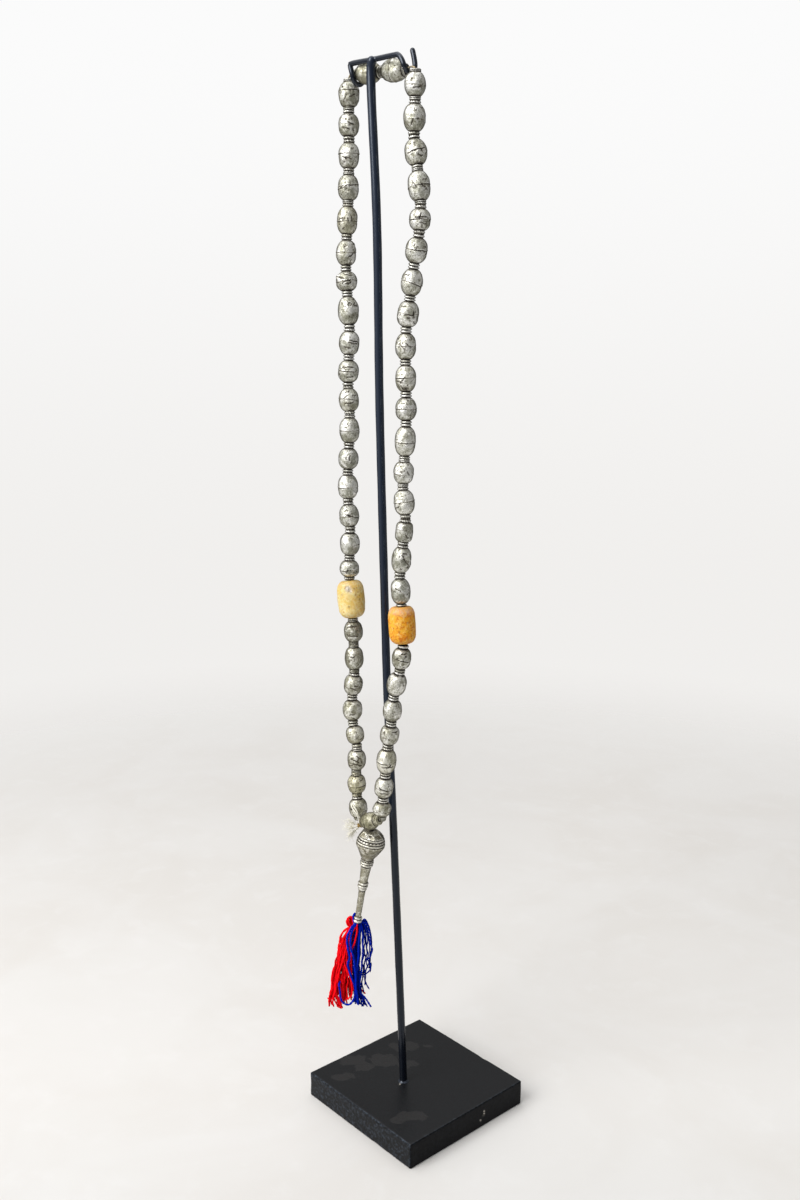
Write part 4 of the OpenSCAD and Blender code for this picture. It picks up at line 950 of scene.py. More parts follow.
def stem():
    rng = np.random.default_rng(37)
    e1, e2, w = lean_frame(STEM_LEAN)
    cols = 96
    ang = 2 * np.pi * np.arange(cols) / cols
    line, rings = [], []                       # depth below the top, radius, grains, dirt

    def ring(z0, z1, base, high, grains=0, n=9):
        for k in np.linspace(0, 1, n):
            s = math.sin(math.pi * k)
            line.append((z0 + (z1 - z0) * k, base + high * max(s, 0) ** 0.6, grains * s, 0.9 if k in (0, 1) else 0.0))
            rings.append((z0, z1))

    line += [(2.0, 1.3, 0, 1), (0.0, 1.5, 0, .9), (0.0, 3.6, 0, .5), (0.15, 4.3, 0, .4)]
    ring(0.3, 1.55, 4.5, 0.4, 1.0, 9)
    ring(1.85, 3.65, 4.4, 0.85)
    ring(3.95, 5.75, 4.2, 0.8, 0.22)
    line += [(6.2, 4.2, 0, .9), (6.6, 4.0, 0, .8)]
    for k in np.linspace(0.03, 1, 22):
        line.append((6.6 + 13.6 * k, 4.0 - 0.9 * k, 0, 0.25 * math.exp(-((1 - k) / 0.06) ** 2)))
    ring(20.4, 22.6, 3.4, 0.7)
    ring(22.95, 25.1, 3.4, 0.7)
    ring(25.4, 27.6, 2.95, 0.45)
    line += [(27.8, 3.1, 0, .8), (28.1, 2.75, 0, .6)]
    for k in np.linspace(0.03, 1, 30):
        line.append((28.1 + 23.5 * k, 2.7 - 0.5 * k, 0, 0.2 * math.exp(-((1 - k) / 0.05) ** 2)))
    ring(51.8, 54.0, 2.55, 0.72)
    ring(54.2, 56.9, 2.7, 0.85)
    line += [(57.1, 2.6, 0, .7), (57.3, 2.1, 0, .9), (57.2, 1.4, 0, 1), (55.5, 1.3, 0, 1)]
    z, rr, gr, dirt = np.array(line).T
    Z, A = np.meshgrid(z, ang, indexing="ij")
    RR, GR, DI = (np.repeat(x[:, None], cols, 1) for x in (rr, gr, dirt))
    P = np.stack([RR * np.cos(A), RR * np.sin(A), -Z], -1).reshape(-1, 3)
    g = np.abs(np.cos(9 * A))
    d = (0.4 * GR * (g - 0.6)).reshape(-1)
    DI = np.maximum(DI, GR * (1 - g) ** 0.7 * 1.5).reshape(-1).copy()
    d += (0.045 * waves(P, noise_waves(rng, 8, 0.3, 0.9)) + 0.018 * waves(P, noise_waves(rng, 10, 1.5, 3.5))) * (RR.reshape(-1) > 2.0)
    bright = np.zeros(len(P), bool)
    for z0, z1 in rings:
        bright |= ((Z > z0 + 0.02) & (Z < z1 - 0.02)).reshape(-1)
    # the lapped joint down the sheet-metal tube
    tube = (((Z > 6.8) & (Z < 20.0)) | ((Z > 28.3) & (Z < 51.4))).reshape(-1)
    lap = np.exp(-(((A.reshape(-1) - 2.4 + np.pi) % (2 * np.pi) - np.pi) / 0.07) ** 2)
    d += 0.1 * lap * tube
    DI = np.maximum(DI, 0.6 * np.exp(-(((A.reshape(-1) - 2.28 + np.pi) % (2 * np.pi) - np.pi) / 0.06) ** 2) * tube)
    rad = np.hypot(P[:, 0], P[:, 1]) + d
    v = np.stack([rad * np.cos(A).reshape(-1), rad * np.sin(A).reshape(-1), -Z.reshape(-1)], -1)
    pos = STEM_TOP + v[:, 0:1] * e1 + v[:, 1:2] * e2 + v[:, 2:3] * w
    zz, skin = Z.reshape(-1), np.clip((RR.reshape(-1) - 1.8) / 0.8, 0, 1)
    pos = pos + (v[:, 0] * 0.14 * skin)[:, None] * w + (0.36 * np.clip(1 - zz / 20, 0, 1) * skin)[:, None] * RIGHT
    n = len(line)
    bd = Build()
    bd.add(pos, [grid_faces(n, cols, flip=True), np.array([list(range(cols))]), np.array([[(n - 1) * cols + k for k in range(cols)][::-1]])],
           dirt=np.clip(DI, 0, 1), tone=np.where(bright, -0.1, 0.42), gold=0.2, worn=np.clip(0.55 + 0.35 * bright + d / 0.3, 0, 1))
    bd.piece("stem", "pendant", ["pendant_stem"], "silver_head", SILVER_HEAD)


stem()


# ---------------------------------------------------------------- thread, knot and frayed ends
def cord_piece():
    bd = Build()
    nl, nr = len(LEFT_ROWS) + 2, len(RIGHT_ROWS) + 2
    line = LEFT_PTS[:nl][::-1] + [np.array(p, float) for p in LEFT_ARC] + TOP + [np.array(p, float) for p in RIGHT_ARC] + RIGHT_PTS[:nr]
    straight = []
    for i in range(len(line) - 1):
        n = max(2, int(np.linalg.norm(line[i + 1] - line[i]) / 0.9))
        for t in np.arange(n) / n:
            straight.append(line[i] * (1 - t) + line[i + 1] * t)
    straight.append(line[-1])
    p = np.array(straight)
    for _ in range(2):
        p[1:-1] = 0.25 * p[:-2] + 0.5 * p[1:-1] + 0.25 * p[2:]
    # painted shade: the thread is darkened everywhere but where it lies over the hooks, so that it reads dark in the
    # gaps between the beads
    seen = np.clip((p[:, 2] - 764.5) / 3.0, 0, 1)                # pale only where it lies over the hooks
    sweep(bd, p, 0.56, 10, 3, 0.12, 2.4, shade=np.repeat(0.95 - 0.8 * seen, 10))
    # the same thread inside the lower beads
    for pts, first in ((LEFT_PTS, nl - 1), (RIGHT_PTS, nr - 1)):
        q = catmull(pts[first:], 3.0)
        sweep(bd, q[1:], 0.56, 8, 3, 0.12, 2.4, shade=0.95)
    bd.piece("string_thread", "root", ["thread"], "thread", THREAD)


cord_piece()


def pendant_cord():
    bd = Build()
    p = catmull([PIVOT - np.array([0.1, 0, 1.5]), HEAD_LOW, STEM_TOP, STEM_LOW, below(TASSEL_TOP, TASSEL_LEAN, 9)], 2.0)
    sweep(bd, p, 0.52, 10, 3, 0.12, 2.4, shade=0.2)
    bd.piece("pendant_cord", "pendant", ["pendant_thread"], "thread", THREAD)


pendant_cord()


def tuft():
    rng = np.random.default_rng(77)
    bd = Build()
    # the knot: a few tight turns
    k = []
    mid = through(359.7, 825.4, 2.4, (KNOT[0], KNOT[1]))
    for t in np.linspace(0, 1, 90):
        a = 2 * math.pi * 3.2 * t
        k.append(mid + 1.2 * math.cos(a) * RIGHT + 0.9 * math.sin(a) * TOWARD + (2.1 * (0.5 - t) + 0.4 * math.sin(2.3 * a)) * UP)
    sweep(bd, k, 0.66, 8, 3, 0.12, 2.0, shade=0.85)
    sweep(bd, catmull([LEFT_PTS[-1] - np.array([0, 0.2, -0.5]), (LEFT_PTS[-1] + KNOT) / 2 + np.array([0.1, -0.3, 0]), KNOT], 0.8), 0.55, 8, 3, 0.12, 2.2, shade=0.45)
    sweep(bd, catmull([LAST[1] + np.array([0.4, 0, 0.1]), (LAST[1] + KNOT) / 2 + np.array([0, -0.3, -0.4]), KNOT], 0.8), 0.55, 8, 3, 0.12, 2.2, shade=0.45)
    sweep(bd, catmull([KNOT, KNOT + np.array([3, 0.4, -0.6]), PIVOT + np.array([-2.0, -0.2, 0.05]), PIVOT], 0.8), 0.5, 8, 3, 0.12, 2.2, shade=0.5)
    bd.piece("string_knot", "root", ["thread_tuft"], "thread", THREAD)
    # frayed ends: plied stubs that open into loose fibres
    bd = Build()
    here = (KNOT[0], KNOT[1])
    stubs = [((352.5, 827), (346, 823.5)), ((353, 829), (345.5, 828)), ((355, 831), (350, 836)), ((356.5, 832), (353, 838)), ((353.5, 824), (349, 819.5))]
    for s, (m, e) in enumerate(stubs):
        a, b = through(*m, depth=rng.uniform(0, 1.5), base=here), through(*e, depth=rng.uniform(-1, 1.5), base=here)
        main = off_the_head(catmull([KNOT, (KNOT + a) / 2 + rng.normal(0, 0.3, 3), a], 0.8))
        sweep(bd, main, np.linspace(0.42, 0.28, len(main)), 7, 3, 0.15, 2.0, shade=0.1)
        for _ in range(15):
            tip = b + rng.normal(0, 1.9, 3)
            bend = (a + tip) / 2 + rng.normal(0, 1.1, 3)
            fib = off_the_head(catmull([a - (a - KNOT) * 0.12 + rng.normal(0, 0.18, 3), bend, tip, tip + rng.normal(0, 1.3, 3)], 0.9))
            sweep(bd, fib, np.linspace(0.14, 0.06, len(fib)), 4, shade=rng.uniform(0, 0.2))
    for _ in range(30):                        # stray fluff round the fan
        a = through(rng.uniform(348, 358), rng.uniform(821, 834), depth=rng.uniform(-1.5, 2.0), base=here)
        tip = a + rng.normal(0, 2.6, 3)
        fib = off_the_head(catmull([a, (a + tip) / 2 + rng.normal(0, 0.9, 3), tip], 0.9))
        sweep(bd, fib, 0.09, 4, shade=rng.uniform(0, 0.3))
    bd.piece("frayed_ends", "root", ["thread_tuft"], "thread", FRAY)
    # two pale ends that lie across the lowest bead on the left
    bd = Build()
    a, b = LEFT_PTS[-2], LEFT_PTS[-1]
    w = unit(a - b)
    e1 = unit(TOWARD - (TOWARD @ w) * w)
    e2 = np.cross(w, e1)
    mid = (a + b) / 2
    prof = bead_profile(7.3, 6.95, FULL, 3.35)
    for off, sh in ((-0.33, 0.0), (-0.12, 0.1)):
        p = []
        for t in np.linspace(0, 1, 14):
            z = 4.8 - 11.6 * t
            phi = off - 0.35 + 0.72 * t + 0.06 * math.sin(7 * t + off * 9)
            r = float(prof(np.array(min(max(z, -7.2), 7.2)))) + 0.6 + (0.5 if t > 0.9 else 0)
            p.append(mid + r * math.cos(phi) * e1 + r * math.sin(phi) * e2 + z * w)
        p.append(KNOT + np.array([-0.3, -0.3, 0.6]))
        sweep(bd, catmull(p, 0.7), 0.48, 8, 2, 0.18, 1.8, shade=sh)
    bd.piece("loose_ends", "root", ["thread_tuft"], "thread", FRAY)


tuft()


# ---------------------------------------------------------------- tassel
def strand(bd, pts, r=0.62, seed=0, shade=0.0, wav=0.45):
    rng = np.random.default_rng(seed)
    p = catmull(pts, 1.5)
    s = np.linspace(0, 1, len(p))
    n = len(p)
    x = np.arange(n) * 1.5
    for ax in (RIGHT, TOWARD):
        f1, f2, q1, q2 = rng.uniform(0.22, 0.42), rng.uniform(0.5, 0.9), rng.uniform(0, 6), rng.uniform(0, 6)
        env = np.minimum(1, s * 5)
        p = p + ax[None, :] * (wav * env * (np.sin(f1 * x + q1) + 0.45 * np.sin(f2 * x + q2)))[:, None]
    rr = np.full(n, r)
    rr[-1] *= 0.75
    rr[0] *= 0.8
    sweep(bd, p, rr, 8, 2, 0.16, 3.2, rng.uniform(0, 6), shade=shade)


def at(px, py, depth):
    return through(px, py, depth, base=(TASSEL_TOP[0] - 3.0, TASSEL_TOP[1]))


def tassel():
    root = TASSEL_TOP
    red, blue = Build(), Build()
    rng = np.random.default_rng(101)

    def start(k):
        a = rng.uniform(0, 2 * math.pi)
        return below(root, TASSEL_LEAN, 0.9) + 1.35 * (math.cos(a) * RIGHT + math.sin(a) * TOWARD) * rng.uniform(0.3, 1)

    # red: image places of the bundle's middle line and half width at heights down the tassel
    def bundle(bd, rows, n, depth, seed, ends_y, fan):
        for k in range(n):
            q = rng.uniform(-1, 1)
            dq = rng.uniform(-1, 1)
            drift = rng.normal(0, 0.35)
            pts = [start(k)]
            for j, (y, c, w, dep) in enumerate(rows):
                qq = np.clip(q + drift * (j / len(rows)) * fan, -1.15, 1.15)
                pts.append(at(c + w * qq + rng.normal(0, 0.35), y, dep + depth * dq * (0.3 + 0.7 * j / len(rows)) + rng.normal(0, 0.4)))
            ye = rng.uniform(*ends_y)
            y0, c0, w0, d0 = rows[-1]
            pts.append(at(c0 + (w0 + 0.6) * np.clip(q + drift * fan, -1.2, 1.2) + rng.normal(0, 0.8), ye, d0 + depth * dq + rng.normal(0, 0.8)))
            # painted shade: strands that lie further back are darker
            strand(bd, pts, rng.uniform(0.56, 0.68), seed * 1000 + k, rng.uniform(0.0, 0.45) + 0.25 * (dq < -0.3))

    bundle(red, [(929, 353, 2.6, 0), (938, 347.5, 4.6, 0.5), (952, 344.8, 5.4, 1), (968, 343.2, 7.2, 1), (985, 342.5, 9.0, 1.2), (996, 341.5, 9.5, 1.2)],
           54, 8.5, 3, (992, 1007.5), 1.0)
    bundle(blue, [(928, 358.0, 2.4, 0), (940, 356.6, 3.3, 0), (955, 355.8, 3.6, 0), (972, 356.0, 3.4, 0), (990, 357.2, 2.4, 0.3), (997, 358.8, 4.6, 0.3)],
           22, 8.0, 5, (995, 1006.5), 1.2)
    # single strands that the photo shows, each by its own places: (pixel x, pixel y, depth mm nearer)
    own_blue = [
        [(357, 923, 3.5), (352, 927, 6), (347.9, 935, 8), (347.3, 943, 9), (348.8, 952, 10), (349.5, 958, 10), (347.8, 964, 10), (350, 972, 9), (354, 985, 8), (358, 1004, 6)],
        [(357, 923, 3.5), (353, 929, 6.5), (350.5, 938, 8.5), (351.5, 950, 9.5), (354, 960, 9.5), (355.5, 975, 9.5), (356.5, 992, 9), (358.5, 1005, 8)],
        [(362, 922, 1), (366.5, 924, 3), (370, 934, 4), (371, 945, 4.5), (372.3, 949, 4.5), (370.5, 956, 4), (368, 960, 3), (371, 964, 3), (369.5, 970, 2.5), (365.5, 974, 2), (362, 975, 1)],
        [(362, 922, 0), (367, 928, 1), (369, 940, 1.5), (370, 952, 1.5), (369, 962, 1.5), (366, 970, 1), (365, 980, 1), (369, 989, 1)],
        [(361, 922, -1), (365, 930, 0), (366, 942, 0), (367, 953, 0.5), (364.5, 962, 0.5), (363, 975, 0), (361, 990, 0), (367, 1006.5, 0)],
        [(361, 924, 2), (363, 940, 4), (362.5, 955, 5), (361, 975, 5), (359.5, 990, 5), (364.5, 997, 5), (371, 1007, 5)],
        [(360, 926, 3), (359, 940, 6), (358, 960, 8), (356, 975, 9), (355.5, 990, 9), (354, 999, 9.5), (349.5, 1004.5, 10), (343.5, 1003, 10), (340.5, 996, 10), (339.3, 986, 9.5), (340, 982, 7), (341, 979, 3)],
        [(362, 921, -2), (367, 923, -1), (370.5, 932, -1), (371.5, 944, -1), (370.5, 958, -1), (369, 968, -1), (371.3, 963, 0), (370, 972, 0)],
        [(361, 923, 0), (364, 932, 1), (365, 942, 1.5), (363.4, 950, 1.5), (365.8, 957, 1.5), (364, 966, 1.5), (365.6, 976, 1), (364.6, 985, 1)],
        [(361, 923, -1), (363, 930, -1), (362.4, 942, -1), (364.4, 952, -1), (362.5, 962, -1), (363.6, 972, -1), (362, 983, -1), (363.6, 992, -1)],
        [(362, 923, 1), (366, 929, 2), (367.8, 938, 2), (366.6, 948, 2), (368.6, 955, 2), (366.4, 961, 2), (367.6, 968, 2)],
    ]
    own_red = [
        [(357, 924, 4), (357, 932, 6), (354.5, 942, 7), (352.5, 948, 6.5), (351, 960, 4), (352, 975, 4), (353.5, 990, 3)],
        [(352, 926, 0), (343, 932, 1), (339, 945, 2), (337.5, 960, 2), (334.5, 970, 2.5), (331.8, 985, 3), (331, 995, 3), (329.3, 1006, 3)],
        [(352, 926, 1), (345, 935, 3), (343, 950, 5), (345, 965, 7), (349, 975, 8.5), (352, 985, 9), (351, 996, 9), (345, 1000, 8)],
        [(353, 927, -1), (349, 940, 0), (351, 960, -2), (356, 975, -3), (359, 985, -3), (361.5, 990, -2), (365.8, 993.5, -1)],
        [(352, 926, 0), (341, 935, 2), (338.5, 950, 3), (336.5, 965, 4), (334, 980, 4), (335.5, 995, 5), (342.3, 1008, 5)],
        [(350, 935, 1), (341, 948, 2), (337.6, 961.5, 3), (333.9, 967.3, 3.5), (332.1, 975.4, 4), (331.9, 985.6, 4), (330.8, 991.5, 4), (329.2, 998.1, 4), (329.6, 1006.2, 4)],
        [(350, 935, 0), (340, 955, 1), (334, 975, 3), (333.2, 989.3, 5), (334.2, 998, 5.5), (336.8, 1004, 5.5), (338.5, 1007, 5), (342, 1008.3, 5)],
        [(350, 935, 3), (346, 950, 6), (341.5, 965, 7), (338, 978, 7.5), (336.4, 990, 7.5), (338.2, 1000, 7), (340.8, 1006.5, 6.5)],
    ]
    # painted light and shade: the thick front blue strands are lighter and the others darker
    for i, pl in enumerate(own_blue):
        strand(blue, [start(i)] + [at(*q) for q in pl], {0: 0.9, 1: 0.88, 6: 0.78, 5: 0.7}.get(i, 0.54), 900 + i, -0.2 if i in (0, 1, 5, 6) else 0.2, 0.15)
    for i, pl in enumerate(own_red):
        strand(red, [start(i)] + [at(*q) for q in pl], 0.66, 950 + i, -0.1, 0.2)
    # loops that stand up round the end ring
    loops_blue = [
        [(356, 925, 3.2), (353.7, 920.5, 3.6), (353.7, 916, 3.2), (354.8, 913.4, 2.6), (355.6, 915.4, 2.2), (355.4, 920, 2.6), (354.5, 926, 3.0)],
        [(361, 924, 0), (362.6, 921, -0.5), (364, 920, -1), (365.8, 921.5, -1), (367.3, 926, -1)],
        [(362, 925, -2), (363.2, 920.5, -2.5), (364.6, 919, -2.5), (367, 922, -2), (368.8, 929, -2)],
        [(360, 924, 1.5), (362.2, 922.3, 1.5), (364, 923, 1.2), (365.4, 926, 1), (366.2, 930, 1)],
    ]
    loops_red = [
        [(354, 928, 2.4), (350.5, 925, 2.6), (348.4, 920, 2.2), (349.8, 916.8, 1.5), (352, 917.5, 1.2), (352.8, 922, 1.4), (351, 928, 1.6)],
        [(354, 928, -1), (349.5, 924, -1), (347.3, 920.5, -1.2), (349, 917.3, -1.4), (351.5, 919.5, -1.4), (351.5, 926, -1)],
        [(353, 928, 0.6), (349, 926, 1), (346.9, 922.5, 0.8), (347.8, 918.8, 0.4), (350.2, 919, 0.2), (350.8, 925, 0.4)],
    ]
    for i, pl in enumerate(loops_blue):
        strand(blue, [start(i)] + [at(*q) for q in pl], 0.9 if i == 0 else 0.66, 970 + i, 0.0, 0.05)
    for i, pl in enumerate(loops_red):
        strand(red, [start(i)] + [at(*q) for q in pl], 0.84, 980 + i, 0.1, 0.05)
    red.piece("yarn_red", "pendant", ["tassel_red"], "yarn_red", RED)
    blue.piece("yarn_blue", "pendant", ["tassel_blue"], "yarn_blue", BLUE)


tassel()


# ---------------------------------------------------------------- stand
def top_point(px, py):
    """The point of the block's upper side that is seen at a pixel."""
    xr, yr = (px - 400.0) / F_PX, (py - 600.0) / F_PX
    c, s = math.cos(ROLL), math.sin(ROLL)
    d = FWD + RIGHT * (c * xr + s * yr) - UPV * (-s * xr + c * yr)
    return CAM + d * ((20.0 - CAM[2]) / d[2])


def side_point(px, py):
    """The point of the block's right-hand front side that is seen at a pixel."""
    xr, yr = (px - 400.0) / F_PX, (py - 600.0) / F_PX
    c, s = math.cos(ROLL), math.sin(ROLL)
    d = FWD + RIGHT * (c * xr + s * yr) - UPV * (-s * xr + c * yr)
    return CAM + d * ((60.0 - CAM[0]) / d[0])


def stand_base():
    rng = np.random.default_rng(3)
    half = np.array([60.0, 60.0, 10.0])
    r = 1.2

    def lines(h, n):
        edge = np.array([0, 0.3, 0.6, 0.9, 1.2, 1.8, 2.6])
        inner = np.linspace(2.6, 2 * h - 2.6, n)[1:-1]
        return np.concatenate([edge, inner, 2 * h - edge[::-1]]) - h

    g = [lines(60, 90), lines(60, 90), lines(10, 16)]
    verts, faces, n = [], [], 0
    for ax in range(3):
        u, w = (ax + 1) % 3, (ax + 2) % 3
        for s in (-1, 1):
            U, W = np.meshgrid(g[u], g[w], indexing="ij")
            p = np.zeros(U.shape + (3,))
            p[..., ax], p[..., u], p[..., w] = s * half[ax], U, W
            verts.append(p.reshape(-1, 3))
            faces.append(grid_faces(len(g[u]), len(g[w]), n, wrap=False, flip=s > 0))
            n += p.shape[0] * p.shape[1]
    v = np.concatenate(verts)
    f = np.concatenate(faces)
    key, inv = np.unique(np.round(v, 4), axis=0, return_inverse=True)
    f = inv.reshape(-1)[f]
    q = np.clip(key, -(half - r), half - r)
    nrm = key - q
    nrm /= np.maximum(np.linalg.norm(nrm, axis=1), 1e-9)[:, None]
    pos = q + r * nrm
    worn = np.sort(half - np.abs(pos), axis=1)[:, 1]            # distance from the nearest edge line
    near = np.exp(-(worn / 1.6) ** 2)
    dents = np.maximum(0, waves(pos, noise_waves(rng, 10, 0.12, 0.5)) - 0.8) * 0.3 + 0.025 * waves(pos, noise_waves(rng, 12, 0.6, 1.4))
    pos = pos - nrm * (dents * near)[:, None]
    pos = pos - nrm * (0.05 * waves(pos, noise_waves(rng, 10, 0.05, 0.3)) * (nrm[:, 2] > -0.5))[:, None]
    pos[:, 2] += 10.0
    pos[:, 2] = np.maximum(pos[:, 2], 0.0)
    nick = np.zeros(len(pos))
    # small pale nicks low down and at the right-hand corner, and a lighter front edge
    marks = [(side_point(484.2, 1111), 0.5), (side_point(484.2, 1113.2), 0.5), (side_point(483.6, 1115.4), 0.5), (side_point(480.5, 1120.5), 0.55)]
    for c, s in marks + [((-0.5, -11 - 4.9, 20), 0.4)]:
        nick = np.maximum(nick, np.exp(-(np.linalg.norm(pos - np.array(c, float), axis=1) / s) ** 2))
    edge = np.exp(-(worn / 1.0) ** 2) * np.where(nrm[:, 2] > 0.2, 0.9, 0.5) * np.where(nrm[:, 0] > 0.6, 0.3, 1.0)
    # duller patches on the top, at the places where the photo shows them: pixel and size in mm
    patch = np.zeros(len(pos))
    for px, py, rx, ry in ((352, 1060, 13, 8), (385, 1060, 12, 9), (363, 1066, 9, 6), (405, 1046, 12, 7), (408, 1064, 8, 6), (344, 1077, 9, 5),
                           (410, 1116, 12, 6), (428, 1046, 5, 2), (398, 1120, 6, 4)):
        c = top_point(px, py)
        u, v = (pos - c) @ RIGHT, (pos - c) @ AHEAD
        patch = np.maximum(patch, np.clip(1.25 - np.hypot(u / rx, v / ry) * 0.75, 0, 1) * (nrm[:, 2] > 0.9))
    side = np.where(nrm[:, 1] < -0.5, 1.0, 0.0) + np.where(nrm[:, 0] < -0.5, 0.7, 0.0) + np.where(nrm[:, 0] > 0.5, 0.1, 0.0)
    # painted shade: the block's right-hand front side is darkened most, its left-hand front side less
    shut = np.where(nrm[:, 0] > 0.6, 1.0, 0.0) + np.where(nrm[:, 1] < -0.6, 0.75, 0.0)
    bd = Build()
    bd.add(pos, [f], edge=np.clip(edge, 0, 1), nick=np.clip(nick, 0, 1), patch=patch, side=side, shut=shut)
    bd.piece("base_block", "root", ["stand_base"], "base_paint", BASE)


stand_base()


def stand_rod():
    rng = np.random.default_rng(4)
    bd = Build()
    low = [np.array([ROD[0][0], ROD[0][1], z]) for z in (9.0, 19.0)]
    p = catmull(low + [np.array(q, float) for q in ROD[1:]], 4.0)
    top, way = p[-1], unit(p[-1] - p[-2])
    cap = [(0.9, 2.95), (1.7, 2.7), (2.4, 2.25), (3.0, 1.6), (3.3, 0.9), (3.42, 0.3)]
    p = np.concatenate([p, [top + way * q for q, _ in cap]])
    r = np.concatenate([np.full(len(p) - len(cap), 3.0), [x for _, x in cap]])
    wob = 0.04 * np.sin(np.arange(len(p)) * 0.7) + 0.03 * np.sin(np.arange(len(p)) * 0.23 + 1)
    # painted sheen: the rod's upper part takes the bluer dull colour; painted shade: its lower part is darkened and its
    # reflection cut back
    high = np.clip((p[:, 2] - 150) / 420, 0, 1)
    sweep(bd, p, r + np.where(r > 2.9, wob, 0), 28, patch=np.repeat(2.0 * high, 28), shut=np.repeat(0.5 - 0.5 * high, 28))
    wire = catmull([np.array(q, float) for q in HOOK_LEFT + BAR + HOOK_RIGHT], 0.8)
    rw = np.full(len(wire), 1.75)
    for e in (0, 1):
        for k, x in enumerate((0.55, 1.2, 1.55, 1.7)):
            rw[k if e == 0 else -1 - k] = x
    sweep(bd, wire, rw, 16, edge=0.0)

    def lump(c, rad, seed):
        g = np.random.default_rng(seed)
        cols, rows = 20, 12
        th = np.linspace(0.02, math.pi - 0.02, rows)
        an = 2 * np.pi * np.arange(cols) / cols
        T, A = np.meshgrid(th, an, indexing="ij")
        n = np.stack([np.sin(T) * np.cos(A), np.sin(T) * np.sin(A), np.cos(T)], -1).reshape(-1, 3)
        k = 1 + 0.12 * waves(n * 3, noise_waves(g, 6, 0.6, 1.6))
        bd.add(np.asarray(c, float) + n * k[:, None] * np.asarray(rad, float),
               [grid_faces(rows, cols, flip=True), np.array([list(range(cols))]), np.array([[(rows - 1) * cols + k for k in range(cols)][::-1]])], edge=0.2)
    # weld between the rod and the crossbar
    lump((-11.6, -41.9, 775.3), (2.3, 1.9, 1.9), 5)
    lump((-5.9, -41.5, 775.2), (2.2, 1.9, 1.8), 6)
    lump((-8.6, -41.0, 774.2), (2.6, 1.7, 2.2), 7)
    # a thin collar of set paint where the rod enters the block
    cols = 40
    an = 2 * np.pi * np.arange(cols) / cols
    ring = []
    for z, rr in ((20.0, 4.3), (20.25, 4.2), (20.5, 3.8), (20.8, 3.35), (21.3, 3.05), (21.6, 2.9), (19.6, 2.8), (19.6, 4.2)):
        uneven = 1 + 0.05 * np.sin(3 * an + 1) * (rr > 3.1)
        ring.append(np.stack([ROD[0][0] + rr * uneven * np.cos(an), ROD[0][1] + rr * uneven * np.sin(an), np.full(cols, z)], -1))
    ring = np.array(ring)
    k = len(ring)
    f = grid_faces(k, cols)
    close = np.array([[(k - 1) * cols + c, (k - 1) * cols + (c + 1) % cols, (c + 1) % cols, c] for c in range(cols)])
    bd.add(ring, [f, close], edge=0.9)
    bd.piece("rod_and_hooks", "root", ["stand_rod"], "rod_paint", ROD_PAINT)


stand_rod()


# ---------------------------------------------------------------- floor, surroundings and light
def stage():
    cols, rings = 96, 40
    an = 2 * np.pi * np.arange(cols) / cols
    rad = np.linspace(0, 1.7, rings)[1:]
    v = [(0.0, 0.0, 0.0)] + [(r * math.cos(a), r * math.sin(a), 0.0) for r in rad for a in an]
    f = [(0, 1 + c, 1 + (c + 1) % cols) for c in range(cols)]
    for i in range(rings - 2):
        for c in range(cols):
            a = 1 + i * cols + c
            b = 1 + i * cols + (c + 1) % cols
            f.append((a, a + cols, b + cols, b))
    me = bpy.data.meshes.new("floor")
    me.from_pydata(v, [], f)
    me.update()
    ob = bpy.data.objects.new("floor", me)
    bpy.context.scene.collection.objects.link(ob)
    m = Nodes("floor_paint")
    a = m.noise(5.0, 4.0, 0.6, 0.6)
    b = m.noise(28.0, 4.0, 0.6, 0.4)
    col = m.mix(m.ramp(a, 0.35, 0.7), (0.76, 0.748, 0.735), (0.73, 0.71, 0.688))
    col = m.mix(m.ramp(b, 0.5, 0.75, 0.0, 0.4), col, (0.79, 0.782, 0.775))
    sep = m.node("ShaderNodeSeparateXYZ", Vector=m.coord)
    # painted shade and light: the floor's colour is darker towards the camera, where the key light falls strongest, and
    # lighter to the right
    near = m.math("SUBTRACT", m.math("MULTIPLY", sep.outputs[0], 0.744), m.math("MULTIPLY", sep.outputs[1], 0.668))
    side = m.math("ADD", m.math("MULTIPLY", sep.outputs[0], 0.668), m.math("MULTIPLY", sep.outputs[1], 0.744))
    col = m.mix(m.ramp(near, -0.05, 0.3, 0.0, 1.0), col, m.mix(1.0, col, (0.905, 0.92, 0.93), "MULTIPLY"))
    col = m.mix(m.ramp(side, 0.02, 0.3, 0.0, 1.0), col, m.mix(1.0, col, (1.05, 1.05, 1.05), "MULTIPLY"))
    m.set(Base_Color=col, Roughness=0.55, Specular_IOR_Level=0.25, Normal=m.bump(b, 0.1, 0.002))
    rr = m.math("SQRT", m.math("ADD", m.math("MULTIPLY", sep.outputs[0], sep.outputs[0]), m.math("MULTIPLY", sep.outputs[1], sep.outputs[1])))
    fade = m.ramp(rr, 0.55, 1.5)
    clear = m.node("ShaderNodeBsdfTransparent")
    mixer = m.t.nodes.new("ShaderNodeMixShader")
    m.t.links.new(fade, mixer.inputs[0])
    m.t.links.new(m.bsdf.outputs[0], mixer.inputs[1])
    m.t.links.new(clear.outputs[0], mixer.inputs[2])
    m.t.links.new(mixer.outputs[0], m.out.inputs[0])
    me.materials.append(m.mat)


stage()


def aim(ob, target):
    from mathutils import Vector
    d = Vector(target) - ob.location
    ob.rotation_euler = d.to_track_quat("-Z", "Y").to_euler()


def soft_light(name, pos, target, size, power, colour=(1, 1, 1)):
    li = bpy.data.lights.new(name, "AREA")
    li.shape = "RECTANGLE"
    li.size, li.size_y = size
    li.energy = power
    li.color = colour
    ob = bpy.data.objects.new(name, li)
    bpy.context.scene.collection.objects.link(ob)
    ob.location = pos
    aim(ob, target)
    return ob


